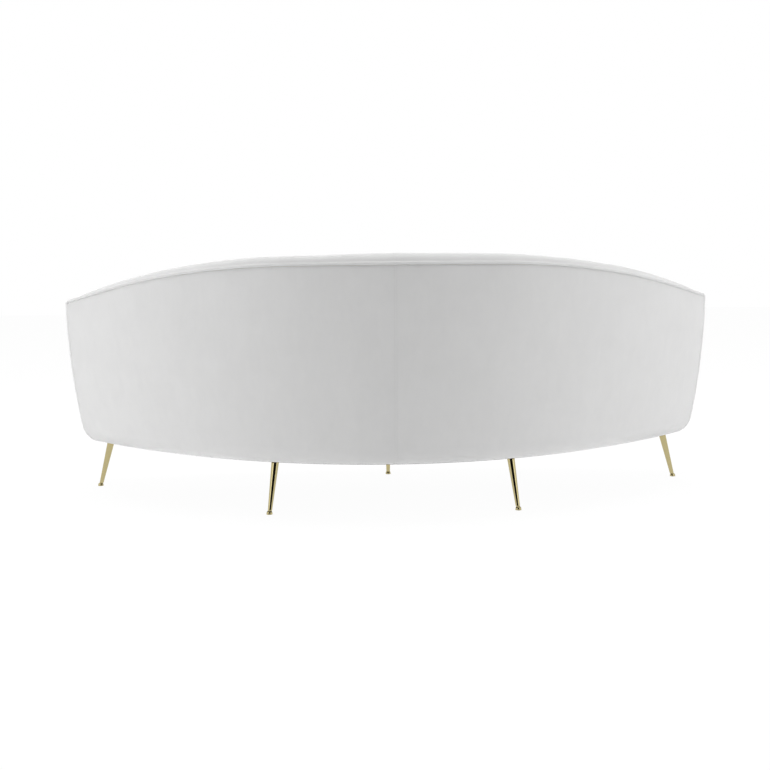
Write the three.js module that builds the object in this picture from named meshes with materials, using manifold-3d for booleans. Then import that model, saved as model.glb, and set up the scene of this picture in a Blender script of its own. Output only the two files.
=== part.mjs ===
import * as THREE from 'three';
import { mergeVertices } from 'three/addons/utils/BufferGeometryUtils.js';
import Module from 'manifold-3d';

// A curved sofa: a bent back shell whose ends taper into arms, a crescent seat, five splayed metal legs.
// Millimetres, +Z up, the seat faces -Y. Left and right are the sitter's, so left is +X.
// "Across" runs along X, "out" is measured square to the back's plan curve, away from the sitter.

// Heights above the floor
const bodyBottom = 178;
const railTop = 300;
const borderTop = 396;
const seatEdgeTop = 432;
const seatCrown = 16;
const backTop = 795.5;
const armTipTop = 689;

// The back's plan: a shallow curve, and how far each half reaches across
const backPlanRadius = 1042;
const shellHalfSpan = 1042;
const topLevelHalf = 270;
const topBendHalf = 850;
const stationPitch = 66;
const stationPower = 1.5;

// The outside face: upright at its top edge, leaning in below on a large radius, round at its lower edge
const outsideRadius = 2300;
const lowerEdgeRadius = 82;
const bottomLap = 6;
const outsideLowSteps = 6;
const outsideHighSteps = 5;
const panelFirstCount = 3;
const boardFirstCount = 6;

// The crowned pad along the top of the back
const crownMiddle = 30;
const crownEnd = 20;
const crownRoundPower = 26;
const crestSetback = 50;
const crownRiseShare = 0.32;
const crownRiseHeightShare = 0.76;
const crownFallShare = 0.6;
const crownFallHeightShare = 0.72;
const crownFallDrop = 5;

// The inside face: how thick the back is there, and where the shoulder and lumbar swell lie
const shoulderThickMiddle = 122;
const shoulderThickEnd = 78;
const shoulderDrop = 46;
const lumbarShare = 0.5;
const insideLowMiddle = -38;
const insideLowEnd = -4;
const insideLowRise = 14;
const insideSteps = 12;

// Layers of the back, from outside to inside
const coverThick = 3;
const outsidePadThick = 8;
const panelThick = 3;
const frameThickMiddle = 54;
const frameThickEnd = 30;
const clothThick = 2;
const paddedCoverThick = 8;
const layerGap = 0.3;
const curvedGap = 0.7;
const boardGap = 0.5;

// Frame stock
const ribBoard = 18;
const topRailTall = 34;
const baseRailTall = 25;
const baseRailLift = 29;
const seatRailThick = 20;
const crossRailTall = 60;
const crossRailWide = 22;
const crossRailAcross = [190, 560];
const blockTall = 40;
const blockAcross = 120;
const blockDeep = 110;
const facingThick = 14;

// Seams and piping
const weltRadius = 5.6;
const weltSides = 8;
const weltInset = 2;
const seatWeltInset = 3;
const seamGap = 0.4;

// The seat's plan: front edge arc and rounded ends
const seatBeforeArms = 267.5;
const seatFrontRadius = 5500;
const frontSteps = 18;
const seatEndOut = 34;
const seatEndRun = 50;
const cornerSteps = 6;
const seatBackGap = 0.4;
const seatRoundRadius = 24;
const spineBeyond = 8;
const spineReachShare = 0.985;
const spineShares = [0.14, 0.42, 0.8];
const crownShares = [0.35, 0.8, 1];
const edgeRoundShares = [0, 0.45, 1];

// The border round the seat base
const borderLean = 10;
const borderLowRadius = 30;
const borderPadThick = 8;
const borderCoverSteps = 4;
const borderPadSteps = 2;
const borderRailInset = 26;
const railLowShift = 10;

// Webbing, deck cloth and dust cover
const strapWide = 56;
const strapThick = 2;
const outerStrapInside = 258;
const strapPairCount = 4;
const strapLap = 6;
const longStrapOuts = [150, 380];
const longStrapCounts = [4, 2];
const deckSag = 0.4;
const deckInset = 18;
const deckClear = 5.6;
const dustThick = 1.5;
const dustInset = 34;
const dustLap = 9;
const dustClear = 1.5;

// Legs: tapered metal, leaning outwards, each with a domed foot on a threaded stem
const plateSide = 58;
const plateThick = 4;
const legTopRadius = 13;
const legTipRadius = 6.6;
const legLean = 48;
const legSides = 14;
const rodSides = 10;
const studRadius = 4;
const studLong = 30;
const stemRadius = 3;
const stemLong = 34;
const stemClear = 0.4;
const footRadius = 10.1;
const footTall = 10.5;
const footNeckRadius = 5.4;
const footRimTall = 1.6;
const domeSteps = 4;
const domeEndAngle = Math.PI / 2;
const domePower = 0.8;

// Where each foot stands: the rear ones by the back's curve, the end ones by the arms, the front by the seat
const rearFootAcross = 405;
const rearFootInside = 18.3;
const endFootBeyond = 42;
const endFootBefore = 65.5;
const frontFootSetback = 71.5;
const rearLeanAcrossShare = 0.42;

// How far cuts run past what they cut, and how close two corners are when they are one
const overrun = 20;
const weldDistance = 0.001;

const wasm = await Module();
wasm.setup();

const finishes = {
  fabric: { color: 0xd8d8d8, roughness: 0.85, metalness: 0 },
  lining: { color: 0x2b2b2c, roughness: 0.95, metalness: 0 },
  foam: { color: 0xe8e0c4, roughness: 0.95, metalness: 0 },
  wadding: { color: 0xf2f2ee, roughness: 1, metalness: 0 },
  timber: { color: 0xc79a63, roughness: 0.7, metalness: 0 },
  webbing: { color: 0x6d5a48, roughness: 0.9, metalness: 0 },
  brass: { color: 0xc8a951, roughness: 0.12, metalness: 1 },
  steel: { color: 0x9a9b9d, roughness: 0.4, metalness: 1 },
};

const sofa = new THREE.Group();

function addPiece(name, geometry, finish) {
  const mesh = new THREE.Mesh(geometry, new THREE.MeshStandardMaterial(finishes[finish]));
  mesh.name = name;
  sofa.add(mesh);
  return mesh;
}

// Solids from rings of points

function signedVolume(positions, index) {
  const corners = [new THREE.Vector3(), new THREE.Vector3(), new THREE.Vector3()];
  let total = 0;
  for (let i = 0; i < index.length; i += 3) {
    corners.forEach((corner, k) => corner.fromArray(positions, 3 * index[i + k]));
    total += corners[0].dot(corners[1].cross(corners[2]));
  }
  return total;
}

function flatArea(points) {
  return THREE.ShapeUtils.area(points.map(([a, b]) => new THREE.Vector2(a, b)));
}

// Triangles that fill a flat outline, turning the way the outline turns.
function capTriangles(flat) {
  const contour = flat.map(([a, b]) => new THREE.Vector2(a, b));
  const outlineTurns = Math.sign(flatArea(flat));
  return THREE.ShapeUtils.triangulateShape(contour, []).map((face) => {
    const turns = Math.sign(flatArea(face.map((k) => flat[k])));
    return turns === outlineTurns ? face : [face[0], face[2], face[1]];
  });
}

// A closed body through rings of equal length, filled at its first and last ring.
function closedLoft(rings, startFlat, endFlat) {
  const count = rings[0].length;
  const positions = rings.flat().flatMap((point) => [point.x, point.y, point.z]);
  const index = [];
  for (let ring = 0; ring + 1 < rings.length; ring += 1) {
    for (let i = 0; i < count; i += 1) {
      const a = ring * count + i;
      const b = ring * count + ((i + 1) % count);
      index.push(a, b, b + count, a, b + count, a + count);
    }
  }
  const last = (rings.length - 1) * count;
  capTriangles(startFlat).forEach(([a, b, c]) => index.push(a, c, b));
  capTriangles(endFlat).forEach(([a, b, c]) => index.push(last + a, last + b, last + c));
  if (signedVolume(positions, index) < 0) index.reverse();
  const geometry = new THREE.BufferGeometry();
  geometry.setAttribute('position', new THREE.Float32BufferAttribute(positions, 3));
  geometry.setIndex(index);
  return geometry;
}

// A band that follows a path: sectionAt gives [out, up] pairs at each station.
function pathLoft(stations, sectionAt) {
  const sections = stations.map(sectionAt);
  const rings = stations.map((station, k) => sections[k].map(([out, up]) => new THREE.Vector3(
    station.x + out * station.nx,
    station.y + out * station.ny,
    up,
  )));
  return closedLoft(rings, sections[0], sections[sections.length - 1]);
}

// A body of level rings, each a plan loop at its own height, filled at both ends.
function ringStack(rings) {
  const plan = (ring) => ring.map((point) => [point.x, point.y]);
  return closedLoft(rings, plan(rings[0]), plan(rings[rings.length - 1]));
}

function levelSlab(points, low, high) {
  const shape = new THREE.Shape(points.map((point) => new THREE.Vector2(point.x, point.y)));
  const geometry = new THREE.ExtrudeGeometry(shape, { depth: high - low, bevelEnabled: false });
  return geometry.translate(0, 0, low);
}

// Cutting and joining

function toSolid(geometry) {
  const bare = geometry.clone();
  bare.deleteAttribute('normal');
  bare.deleteAttribute('uv');
  const merged = mergeVertices(bare, weldDistance);
  return new wasm.Manifold(new wasm.Mesh({
    numProp: 3,
    vertProperties: new Float32Array(merged.attributes.position.array),
    triVerts: new Uint32Array(merged.index.array),
  }));
}

function toGeometry(solid) {
  const mesh = solid.getMesh();
  const geometry = new THREE.BufferGeometry();
  geometry.setAttribute('position', new THREE.BufferAttribute(new Float32Array(mesh.vertProperties), 3));
  geometry.setIndex(new THREE.BufferAttribute(new Uint32Array(mesh.triVerts), 1));
  return geometry;
}

function mix(first, last, share) {
  return first + (last - first) * share;
}

// The back's plan curve

// A station is a place on the curve, with the direction square to it and its share of the span.

function planDrop(across) {
  return (across * across) / (2 * backPlanRadius);
}

function backStation(across) {
  const slope = across / backPlanRadius;
  const length = Math.hypot(slope, 1);
  return {
    x: across,
    y: -planDrop(across),
    nx: slope / length,
    ny: 1 / length,
    share: Math.min(Math.abs(across) / shellHalfSpan, 1),
  };
}

// Stations lie closer together towards the arm tips, where the crown runs out.
const halfCount = Math.round(shellHalfSpan / stationPitch);
const backStations = [];
for (let k = -halfCount; k <= halfCount; k += 1) {
  const share = 1 - (1 - Math.abs(k) / halfCount) ** stationPower;
  backStations.push(backStation(Math.sign(k) * share * shellHalfSpan));
}
const leftStations = backStations.slice(halfCount);
const rightStations = backStations.slice(0, halfCount + 1);

function topAt(across) {
  const reach = Math.min(Math.abs(across), shellHalfSpan);
  const bend = topBendHalf - topLevelHalf;
  const slope = (backTop - armTipTop) / (bend / 2 + shellHalfSpan - topBendHalf);
  if (reach <= topLevelHalf) return backTop;
  if (reach <= topBendHalf) return backTop - (slope * (reach - topLevelHalf) ** 2) / (2 * bend);
  return backTop - slope * (bend / 2 + reach - topBendHalf);
}

// The outside face is two arcs in section: a large one, upright at the top, and the round of the lower edge,
// whose centre is where "out" is zero.
function outsideArcs(station) {
  const top = topAt(station.x);
  const lowUp = bodyBottom + lowerEdgeRadius;
  const spread = Math.sqrt((outsideRadius - lowerEdgeRadius) ** 2 - (top - lowUp) ** 2);
  return { top, lowUp, spread, flare: outsideRadius - spread };
}

function outsideAt(station, depth, up) {
  const { top, lowUp, spread } = outsideArcs(station);
  const small = lowerEdgeRadius - depth;
  const large = outsideRadius - depth;
  const meetUp = lowUp - (small * (top - lowUp)) / (outsideRadius - lowerEdgeRadius);
  if (up < meetUp) return Math.sqrt(small ** 2 - (up - lowUp) ** 2);
  return Math.sqrt(large ** 2 - (up - top) ** 2) - spread;
}

// A line parallel to the outside face, "depth" inside it, up to "drop" below the top edge. All layers share
// the same steps, so that they stay parallel. Step 0 is the lowest, and the arcs meet after the low steps.
function outsideLine(station, depth, drop, firstStep) {
  const { top, lowUp, spread } = outsideArcs(station);
  const small = lowerEdgeRadius - depth;
  const large = outsideRadius - depth;
  const meet = Math.atan2(lowUp - top, spread);
  const points = [];
  for (let k = firstStep; k < outsideLowSteps; k += 1) {
    const angle = mix(-Math.PI / 2, meet, k / outsideLowSteps);
    points.push([small * Math.cos(angle), lowUp + small * Math.sin(angle)]);
  }
  for (let k = 0; k < outsideHighSteps; k += 1) {
    const angle = mix(meet, 0, k / outsideHighSteps);
    points.push([large * Math.cos(angle) - spread, top + large * Math.sin(angle)]);
  }
  points.push([outsideAt(station, depth, top - drop), top - drop]);
  return points;
}

// The same line from the height of the seat rails upwards.
function outsideLineFromRails(station, depth, drop, up) {
  const line = outsideLine(station, depth, drop, outsideLowSteps);
  return [[outsideAt(station, depth, up), up], ...line.slice(1)];
}

function insideLowAt(station) {
  return mix(insideLowMiddle, insideLowEnd, station.share ** 2);
}

function frameThickAt(station) {
  return mix(frameThickMiddle, frameThickEnd, station.share ** 2);
}

function crownAt(station) {
  return mix(crownMiddle, crownEnd, station.share) * Math.sqrt(1 - station.share ** crownRoundPower);
}

// The inside face in section, from beside the welt, over the crown and down to below the seat.
function insideFace(station) {
  const { top, flare } = outsideArcs(station);
  const crown = crownAt(station);
  const low = insideLowAt(station);
  const shoulder = flare - mix(shoulderThickMiddle, shoulderThickEnd, station.share ** 2);
  const edge = flare - weltInset - weltRadius - curvedGap;
  const crest = flare - crestSetback;
  const shoulderUp = top - shoulderDrop;
  const lowUp = seatEdgeTop + seatCrown + insideLowRise;
  const control = [
    [edge, top - curvedGap],
    [mix(edge, crest, crownRiseShare), top + crown * crownRiseHeightShare],
    [crest, top + crown],
    [mix(crest, shoulder, crownFallShare), top + crown * crownFallHeightShare - crownFallDrop],
    [shoulder, shoulderUp],
    [mix(shoulder, low, lumbarShare), mix(shoulderUp, lowUp, lumbarShare)],
    [low, lowUp],
  ];
  const curve = new THREE.SplineCurve(control.map(([out, up]) => new THREE.Vector2(out, up)));
  const points = curve.getPoints(insideSteps).map((point) => [point.x, point.y]);
  points.push([low, railTop + deckClear]);
  return points;
}

// The same line moved inwards, square to itself.
function movedIn(points, depth) {
  return points.map(([out, up], k) => {
    const before = points[Math.max(k - 1, 0)];
    const after = points[Math.min(k + 1, points.length - 1)];
    const run = [after[0] - before[0], after[1] - before[1]];
    const length = Math.hypot(run[0], run[1]);
    return [out - (depth * run[1]) / length, up + (depth * run[0]) / length];
  });
}

// Two sides of a layer joined into one outline.
function layerOutline(firstSide, secondSide) {
  return [...firstSide, ...secondSide.slice().reverse()];
}

// Depths of the back's layers inside its outside face
const padDepth = coverThick + layerGap;
const panelDepth = padDepth + outsidePadThick + layerGap;
const frameDepth = panelDepth + panelThick + curvedGap;
const innerTopDrop = weltRadius + seamGap + paddedCoverThick + curvedGap;
const topRailDrop = innerTopDrop + curvedGap;
const baseRailLow = bodyBottom + baseRailLift;
const ribLow = baseRailLow + baseRailTall + layerGap;

// Upholstery of the back

function outsideCoverSection(station) {
  const lap = Math.max(-bottomLap, insideLowAt(station) + curvedGap);
  const drop = weltRadius + seamGap;
  const face = outsideLine(station, 0, drop, 0);
  const lining = outsideLine(station, coverThick, drop, 0);
  return layerOutline([[lap, bodyBottom], ...face], [[lap, bodyBottom + coverThick], ...lining]);
}

function outsidePaddingSection(station) {
  return layerOutline(
    outsideLine(station, padDepth, innerTopDrop, 0),
    outsideLine(station, padDepth + outsidePadThick, innerTopDrop, 0),
  );
}

function outsidePanelSection(station) {
  return layerOutline(
    outsideLine(station, panelDepth, innerTopDrop, panelFirstCount),
    outsideLine(station, panelDepth + panelThick, innerTopDrop, panelFirstCount),
  );
}

function insideCoverSection(station) {
  const face = insideFace(station);
  return layerOutline(face, movedIn(face, paddedCoverThick));
}

function supportClothDepth(station) {
  return frameDepth + frameThickAt(station) + curvedGap;
}

function supportClothSection(station) {
  const depth = supportClothDepth(station);
  const drop = topRailDrop + clothThick;
  return layerOutline(
    outsideLineFromRails(station, depth, drop, railTop),
    outsideLineFromRails(station, depth + clothThick, drop, railTop),
  );
}

function insideFoamSection(station) {
  const { top, flare } = outsideArcs(station);
  const face = movedIn(insideFace(station), paddedCoverThick + layerGap);
  const depth = supportClothDepth(station) + clothThick + layerGap;
  const behind = outsideLineFromRails(station, depth, topRailDrop - curvedGap, railTop + deckClear);
  const lip = flare - frameDepth - layerGap;
  const overRail = [lip, top - topRailDrop + curvedGap];
  const besidePanel = [lip, top - innerTopDrop + curvedGap];
  return [...face, ...behind, overRail, besidePanel].reverse();
}

addPiece('outside_back_cover_left', pathLoft(leftCoverStations(), outsideCoverSection), 'fabric');
addPiece('outside_back_cover_right', pathLoft(rightCoverStations(), outsideCoverSection), 'fabric');
addPiece('outside_back_padding', pathLoft(backStations, outsidePaddingSection), 'wadding');
addPiece('outside_back_panel', pathLoft(backStations, outsidePanelSection), 'timber');
addPiece('inside_back_cover_left', pathLoft(leftCoverStations(), insideCoverSection), 'fabric');
addPiece('inside_back_cover_right', pathLoft(rightCoverStations(), insideCoverSection), 'fabric');
addPiece('inside_back_foam', pathLoft(backStations, insideFoamSection), 'foam');
addPiece('back_support_cloth', pathLoft(backStations, supportClothSection), 'webbing');

// The left and right covers meet at a seam in the middle.
function leftCoverStations() {
  return [backStation(seamGap / 2), ...leftStations.slice(1)];
}

function rightCoverStations() {
  return [...rightStations.slice(0, -1), backStation(-seamGap / 2)];
}

// Piping: a round cord, here its section about a centre given as out and up
function cordSection(out, up) {
  const section = [];
  for (let k = 0; k < weltSides; k += 1) {
    const angle = (2 * Math.PI * k) / weltSides;
    section.push([out + weltRadius * Math.cos(angle), up + weltRadius * Math.sin(angle)]);
  }
  return section;
}

function backWeltSection(station) {
  const { top, flare } = outsideArcs(station);
  return cordSection(flare - weltInset, top);
}

addPiece('back_edge_welt', pathLoft(backStations, backWeltSection), 'fabric');

// Frame of the back

function topRailSection(station) {
  const { top } = outsideArcs(station);
  const high = top - topRailDrop;
  const low = high - topRailTall;
  const inner = frameDepth + frameThickAt(station);
  return [
    [outsideAt(station, frameDepth, low), low],
    [outsideAt(station, frameDepth, high), high],
    [outsideAt(station, inner, high), high],
    [outsideAt(station, inner, low), low],
  ];
}

function baseRailSection(station) {
  const high = baseRailLow + baseRailTall;
  const inner = insideLowAt(station) + layerGap;
  return [
    [inner, baseRailLow],
    [outsideAt(station, frameDepth, baseRailLow), baseRailLow],
    [outsideAt(station, frameDepth, high), high],
    [inner, high],
  ];
}

addPiece('back_top_rail', pathLoft(backStations, topRailSection), 'timber');
addPiece('back_base_rail', pathLoft(backStations, baseRailSection), 'timber');

// A board standing square to the back's curve, its face outline given as [out, up] pairs.
function standingBoard(name, station, outline, thickness, start, finish) {
  const shape = new THREE.Shape(outline.map(([out, up]) => new THREE.Vector2(out, up)));
  const board = new THREE.ExtrudeGeometry(shape, { depth: thickness, bevelEnabled: false });
  const mesh = addPiece(name, board, finish);
  const outwards = new THREE.Vector3(station.nx, station.ny, 0);
  const upwards = new THREE.Vector3(0, 0, 1);
  const along = new THREE.Vector3().crossVectors(outwards, upwards);
  mesh.quaternion.setFromRotationMatrix(new THREE.Matrix4().makeBasis(outwards, upwards, along));
  mesh.position.set(station.x, station.y, 0).addScaledVector(along, start);
}

// The outline of an upright board between the base rail and the top rail
function boardOutline(station, drop) {
  const outer = frameDepth + boardGap;
  const inner = frameDepth + frameThickAt(station) - boardGap;
  const front = outsideLineFromRails(station, inner, drop, railTop);
  const lowest = outsideAt(station, outer, ribLow);
  return layerOutline(
    [[lowest, ribLow], ...outsideLine(station, outer, drop, boardFirstCount)],
    [[front[0][0], ribLow], ...front],
  );
}

function ribOutline(station) {
  const half = ribBoard / 2;
  const nearTop = Math.min(topAt(station.x - half), topAt(station.x + half));
  const drop = topAt(station.x) - nearTop + topRailDrop + topRailTall + layerGap;
  return boardOutline(station, drop);
}

const ribNames = ['far_right', 'right', 'near_right', 'middle', 'near_left', 'left', 'far_left'];
ribNames.forEach((place, k) => {
  const middle = (ribNames.length - 1) / 2;
  const steps = Math.round((halfCount * (k - middle)) / (middle + 1));
  const station = backStations[halfCount + steps];
  standingBoard(`back_rib_${place}`, station, ribOutline(station), ribBoard, -ribBoard / 2, 'timber');
});

// The arm's end: a post inside, and a padded facing over the open end of the shell

function facingOutline(station) {
  const low = insideLowAt(station);
  const inside = insideFace(station).slice(1, -1);
  return [[low, bodyBottom], ...outsideLine(station, 0, 0, 0), ...inside];
}

const postDrop = topRailDrop + topRailTall + layerGap;
for (const [side, sign] of [['left', 1], ['right', -1]]) {
  const end = backStation(sign * shellHalfSpan);
  const postStart = sign > 0 ? -ribBoard - layerGap : layerGap;
  const facingStart = sign > 0 ? layerGap : -facingThick - layerGap;
  standingBoard(`arm_post_${side}`, end, boardOutline(end, postDrop), ribBoard, postStart, 'timber');
  standingBoard(`arm_facing_${side}`, end, facingOutline(end), facingThick, facingStart, 'fabric');
}

// The seat's plan, clockwise from above: along the back, round the left end, along the front and round again.

function seatRearStation(station) {
  const out = insideLowAt(station) - seatBackGap;
  return {
    x: station.x + out * station.nx,
    y: station.y + out * station.ny,
    nx: station.nx,
    ny: station.ny,
    rear: true,
  };
}

// The front edge is an arc about a point far behind the sofa.
const seatFront = planDrop(shellHalfSpan) + seatBeforeArms;
const seatFrontCentre = new THREE.Vector2(0, seatFrontRadius - seatFront);

function seatFrontY(x) {
  return seatFrontCentre.y - Math.sqrt(seatFrontRadius ** 2 - x * x);
}

function planStation(point, normal) {
  return { x: point.x, y: point.y, nx: normal.x, ny: normal.y };
}

// Past the arm the seat is wider: a short straight run along the end, then an arc that meets the front edge.
function seatEnd() {
  const end = backStation(shellHalfSpan);
  const square = new THREE.Vector2(end.nx, end.ny);
  const along = new THREE.Vector2(end.ny, -end.nx);
  const past = new THREE.Vector2(end.x, end.y).addScaledVector(along, facingThick + 2 * seamGap + layerGap);
  const inner = past.clone().addScaledVector(square, insideLowEnd - seatBackGap);
  const start = past.clone().addScaledVector(square, seatEndOut);
  const turn = start.clone().addScaledVector(along, seatEndRun);
  const offset = turn.clone().sub(seatFrontCentre);
  const radius = (offset.lengthSq() - seatFrontRadius ** 2) / (2 * (square.dot(offset) - seatFrontRadius));
  const centre = turn.clone().addScaledVector(square, -radius);
  const last = centre.clone().sub(seatFrontCentre).normalize();
  return { square, along, inner, start, turn, radius, centre, last };
}

const leftEnd = seatEnd();

function seatLeftCorner() {
  const { square, start, radius, centre, last } = leftEnd;
  const stations = [planStation(start, square)];
  const from = square.angle();
  const to = last.angle() - 2 * Math.PI;
  for (let k = 0; k <= cornerSteps; k += 1) {
    const angle = mix(from, to, k / cornerSteps);
    const normal = new THREE.Vector2(Math.cos(angle), Math.sin(angle));
    stations.push(planStation(centre.clone().addScaledVector(normal, radius), normal));
  }
  return stations;
}

function seatFrontStations() {
  const { last } = leftEnd;
  const halfAngle = Math.asin(last.x);
  const stations = [];
  for (let k = 1; k < frontSteps; k += 1) {
    const angle = mix(halfAngle, -halfAngle, k / frontSteps);
    const normal = new THREE.Vector2(Math.sin(angle), -Math.cos(angle));
    const point = seatFrontCentre.clone().addScaledVector(normal, seatFrontRadius);
    stations.push(planStation(point, normal));
  }
  return stations;
}

function mirrored(stations) {
  return stations.map((station) => ({ ...station, x: -station.x, nx: -station.nx })).reverse();
}

const leftCorner = seatLeftCorner();
const frontPath = [...leftCorner, ...seatFrontStations(), ...mirrored(leftCorner)];
const seatRear = backStations.map(seatRearStation);

// The whole outline steps out round the arm's facing; its two corners there have mitred directions.
function seatStep() {
  const { square, along, inner, start } = leftEnd;
  const mitre = square.clone().sub(along);
  return [{ ...planStation(inner, mitre), rear: true }, planStation(start, mitre)];
}

const leftStep = seatStep();
const seatOutline = [...seatRear, ...leftStep, ...frontPath.slice(1, -1), ...mirrored(leftStep)];

function levelRing(stations, inset, up) {
  return stations.map((station) => {
    const step = typeof inset === 'function' ? inset(station) : inset;
    return new THREE.Vector3(station.x - step * station.nx, station.y - step * station.ny, up);
  });
}

// A ring part of the way from the seat's outline to a line along its middle.
function ringTowardsSpine(stations, inset, share, up) {
  return levelRing(stations, inset, up).map((point) => {
    const half = shellHalfSpan + spineBeyond;
    const x = THREE.MathUtils.clamp(point.x * spineReachShare, -half, half);
    const rear = insideLowMiddle - planDrop(x);
    const spine = new THREE.Vector3(x, (rear + seatFrontY(x)) / 2, up);
    return point.clone().lerp(spine, share);
  });
}

// The seat's upper surface, "depth" inside its skin: a rounded edge, then a low crown.
function seatUpperRings(depth, sideInset) {
  const rings = [];
  for (const share of edgeRoundShares) {
    const angle = (share * Math.PI) / 2;
    const inset = seatRoundRadius - (seatRoundRadius - depth) * Math.cos(angle);
    const up = seatEdgeTop - seatRoundRadius + (seatRoundRadius - depth) * Math.sin(angle);
    rings.push(levelRing(seatOutline, Math.max(inset, sideInset), up));
  }
  spineShares.forEach((share, k) => {
    const up = seatEdgeTop - depth + seatCrown * crownShares[k];
    rings.push(ringTowardsSpine(seatOutline, seatRoundRadius, share, up));
  });
  return rings;
}

const seatWeltUp = borderTop + seamGap + weltRadius;
const borderDepth = padDepth + borderPadThick;

function seatCover() {
  const skin = seatUpperRings(0, 0);
  const lining = seatUpperRings(paddedCoverThick, paddedCoverThick);
  return ringStack([...lining.reverse(), ...skin]);
}

// How far in the leaning border stands at a height
function borderLeanAt(up) {
  return (borderLean * (borderTop - up)) / (borderTop - bodyBottom - borderLowRadius);
}

function seatFoam() {
  const side = borderDepth + curvedGap;
  const low = railTop + deckClear;
  const sideAt = (up) => (station) => (station.rear ? layerGap : side + borderLeanAt(up));
  const upper = seatUpperRings(paddedCoverThick + curvedGap, side);
  const lower = [low, borderTop].map((up) => levelRing(seatOutline, sideAt(up), up));
  return ringStack([...lower, ...upper].reverse());
}

addPiece('seat_cover', seatCover(), 'fabric');
addPiece('seat_foam', seatFoam(), 'foam');

// The border below the seat: its outside line leans in towards a rounded lower edge.

function borderLine(depth, startAngle, steps) {
  const centre = [-borderLean - borderLowRadius, bodyBottom + borderLowRadius];
  const radius = borderLowRadius - depth;
  const points = [];
  for (let k = 0; k <= steps; k += 1) {
    const angle = mix(startAngle, 0, k / steps);
    points.push([centre[0] + radius * Math.cos(angle), centre[1] + radius * Math.sin(angle)]);
  }
  points.push([-depth, borderTop]);
  return points;
}

function borderCoverSection() {
  const lap = -borderLean - borderLowRadius - bottomLap;
  return layerOutline(
    [[lap, bodyBottom], ...borderLine(0, -Math.PI / 2, borderCoverSteps)],
    [[lap, bodyBottom + coverThick], ...borderLine(coverThick, -Math.PI / 2, borderCoverSteps)],
  );
}

function borderPaddingSection() {
  return layerOutline(
    borderLine(padDepth, -Math.PI / 4, borderPadSteps),
    borderLine(padDepth + borderPadThick, -Math.PI / 4, borderPadSteps),
  );
}

const railLow = baseRailLow - railLowShift;
const blockLow = bodyBottom + layerGap;
const dustLow = bodyBottom - layerGap - dustThick;

function frontRailSection() {
  const inner = borderRailInset + seatRailThick;
  return [[-borderRailInset, railLow], [-borderRailInset, railTop], [-inner, railTop], [-inner, railLow]];
}

function rearRailSection() {
  const inner = layerGap + seatRailThick;
  return [[-layerGap, railLow], [-layerGap, railTop], [-inner, railTop], [-inner, railLow]];
}

function seatWeltSection() {
  return cordSection(-seatWeltInset, seatWeltUp);
}

addPiece('seat_border_cover', pathLoft(frontPath, borderCoverSection), 'fabric');
addPiece('seat_border_padding', pathLoft(frontPath, borderPaddingSection), 'wadding');
addPiece('seat_front_rail', pathLoft(frontPath, frontRailSection), 'timber');
addPiece('seat_rear_rail', pathLoft(seatRear, rearRailSection), 'timber');
addPiece('seat_welt', pathLoft(frontPath, seatWeltSection), 'fabric');

// Plan heights of the rails' inner faces along X, for what runs from front to back

function rearFaceY(x, inset) {
  const slope = x / backPlanRadius;
  const share = Math.min(Math.abs(x) / shellHalfSpan, 1);
  const out = insideLowAt({ share }) - seatBackGap - inset;
  return out * Math.hypot(slope, 1) - planDrop(x);
}

function frontFaceY(x, inset) {
  return seatFrontY(x) + inset * Math.hypot(x / seatFrontRadius, 1);
}

function frontToBack(x, width, rearInset, frontInset) {
  const left = x + width / 2;
  const right = x - width / 2;
  return [
    new THREE.Vector2(right, frontFaceY(right, frontInset)),
    new THREE.Vector2(left, frontFaceY(left, frontInset)),
    new THREE.Vector2(left, rearFaceY(left, rearInset)),
    new THREE.Vector2(right, rearFaceY(right, rearInset)),
  ];
}

const rearRailInner = layerGap + seatRailThick;
const frontRailInner = borderRailInset + seatRailThick;
const crossRailNames = ['outer_right', 'inner_right', 'inner_left', 'outer_left'];
const crossRailPlaces = [-crossRailAcross[1], -crossRailAcross[0], crossRailAcross[0], crossRailAcross[1]];
crossRailNames.forEach((place, k) => {
  const plan = frontToBack(
    crossRailPlaces[k], crossRailWide, rearRailInner + curvedGap, frontRailInner + curvedGap,
  );
  addPiece(`seat_cross_rail_${place}`, levelSlab(plan, railLow, railLow + crossRailTall), 'timber');
});

// Webbing stapled over the rails, woven with two long straps, as one mat

const strapPitch = (shellHalfSpan - outerStrapInside) / strapPairCount;

function longStrap(out, pairCount) {
  const reach = pairCount * strapPitch + strapWide / 2 + strapLap;
  const half = reach / (1 - (out + strapWide) / Math.hypot(backPlanRadius, reach));
  const within = backStations.filter((station) => Math.abs(station.x) < half);
  const stations = [backStation(-half), ...within, backStation(half)];
  const low = railTop + deckSag;
  const section = () => [
    [-out, low], [-out, low + strapThick], [-out - strapWide, low + strapThick], [-out - strapWide, low],
  ];
  return toSolid(pathLoft(stations, section));
}

function seatWebbing() {
  const low = railTop + deckSag;
  const [rearStrap, frontStrap] = longStrapOuts.map((out, k) => longStrap(out, longStrapCounts[k]));
  let mat = rearStrap.add(frontStrap);
  for (let k = -strapPairCount; k <= strapPairCount; k += 1) {
    const plan = frontToBack(k * strapPitch, strapWide, layerGap + strapLap, borderRailInset + strapLap);
    mat = mat.add(toSolid(levelSlab(plan, low, low + strapThick)));
  }
  return toGeometry(mat);
}

addPiece('seat_webbing', seatWebbing(), 'webbing');

const deckLow = railTop + deckSag + strapThick + layerGap;
addPiece('seat_deck_cloth', ringStack([
  levelRing(seatOutline, deckInset, deckLow),
  levelRing(seatOutline, deckInset, deckLow + clothThick),
]), 'lining');

// Legs. Each stands in its own frame: origin on the floor at the foot, +X the way the leg leans.

const plateLow = bodyBottom - layerGap - plateThick;
const legAxis = new THREE.Vector3(-legLean, 0, bodyBottom).normalize();

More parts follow.
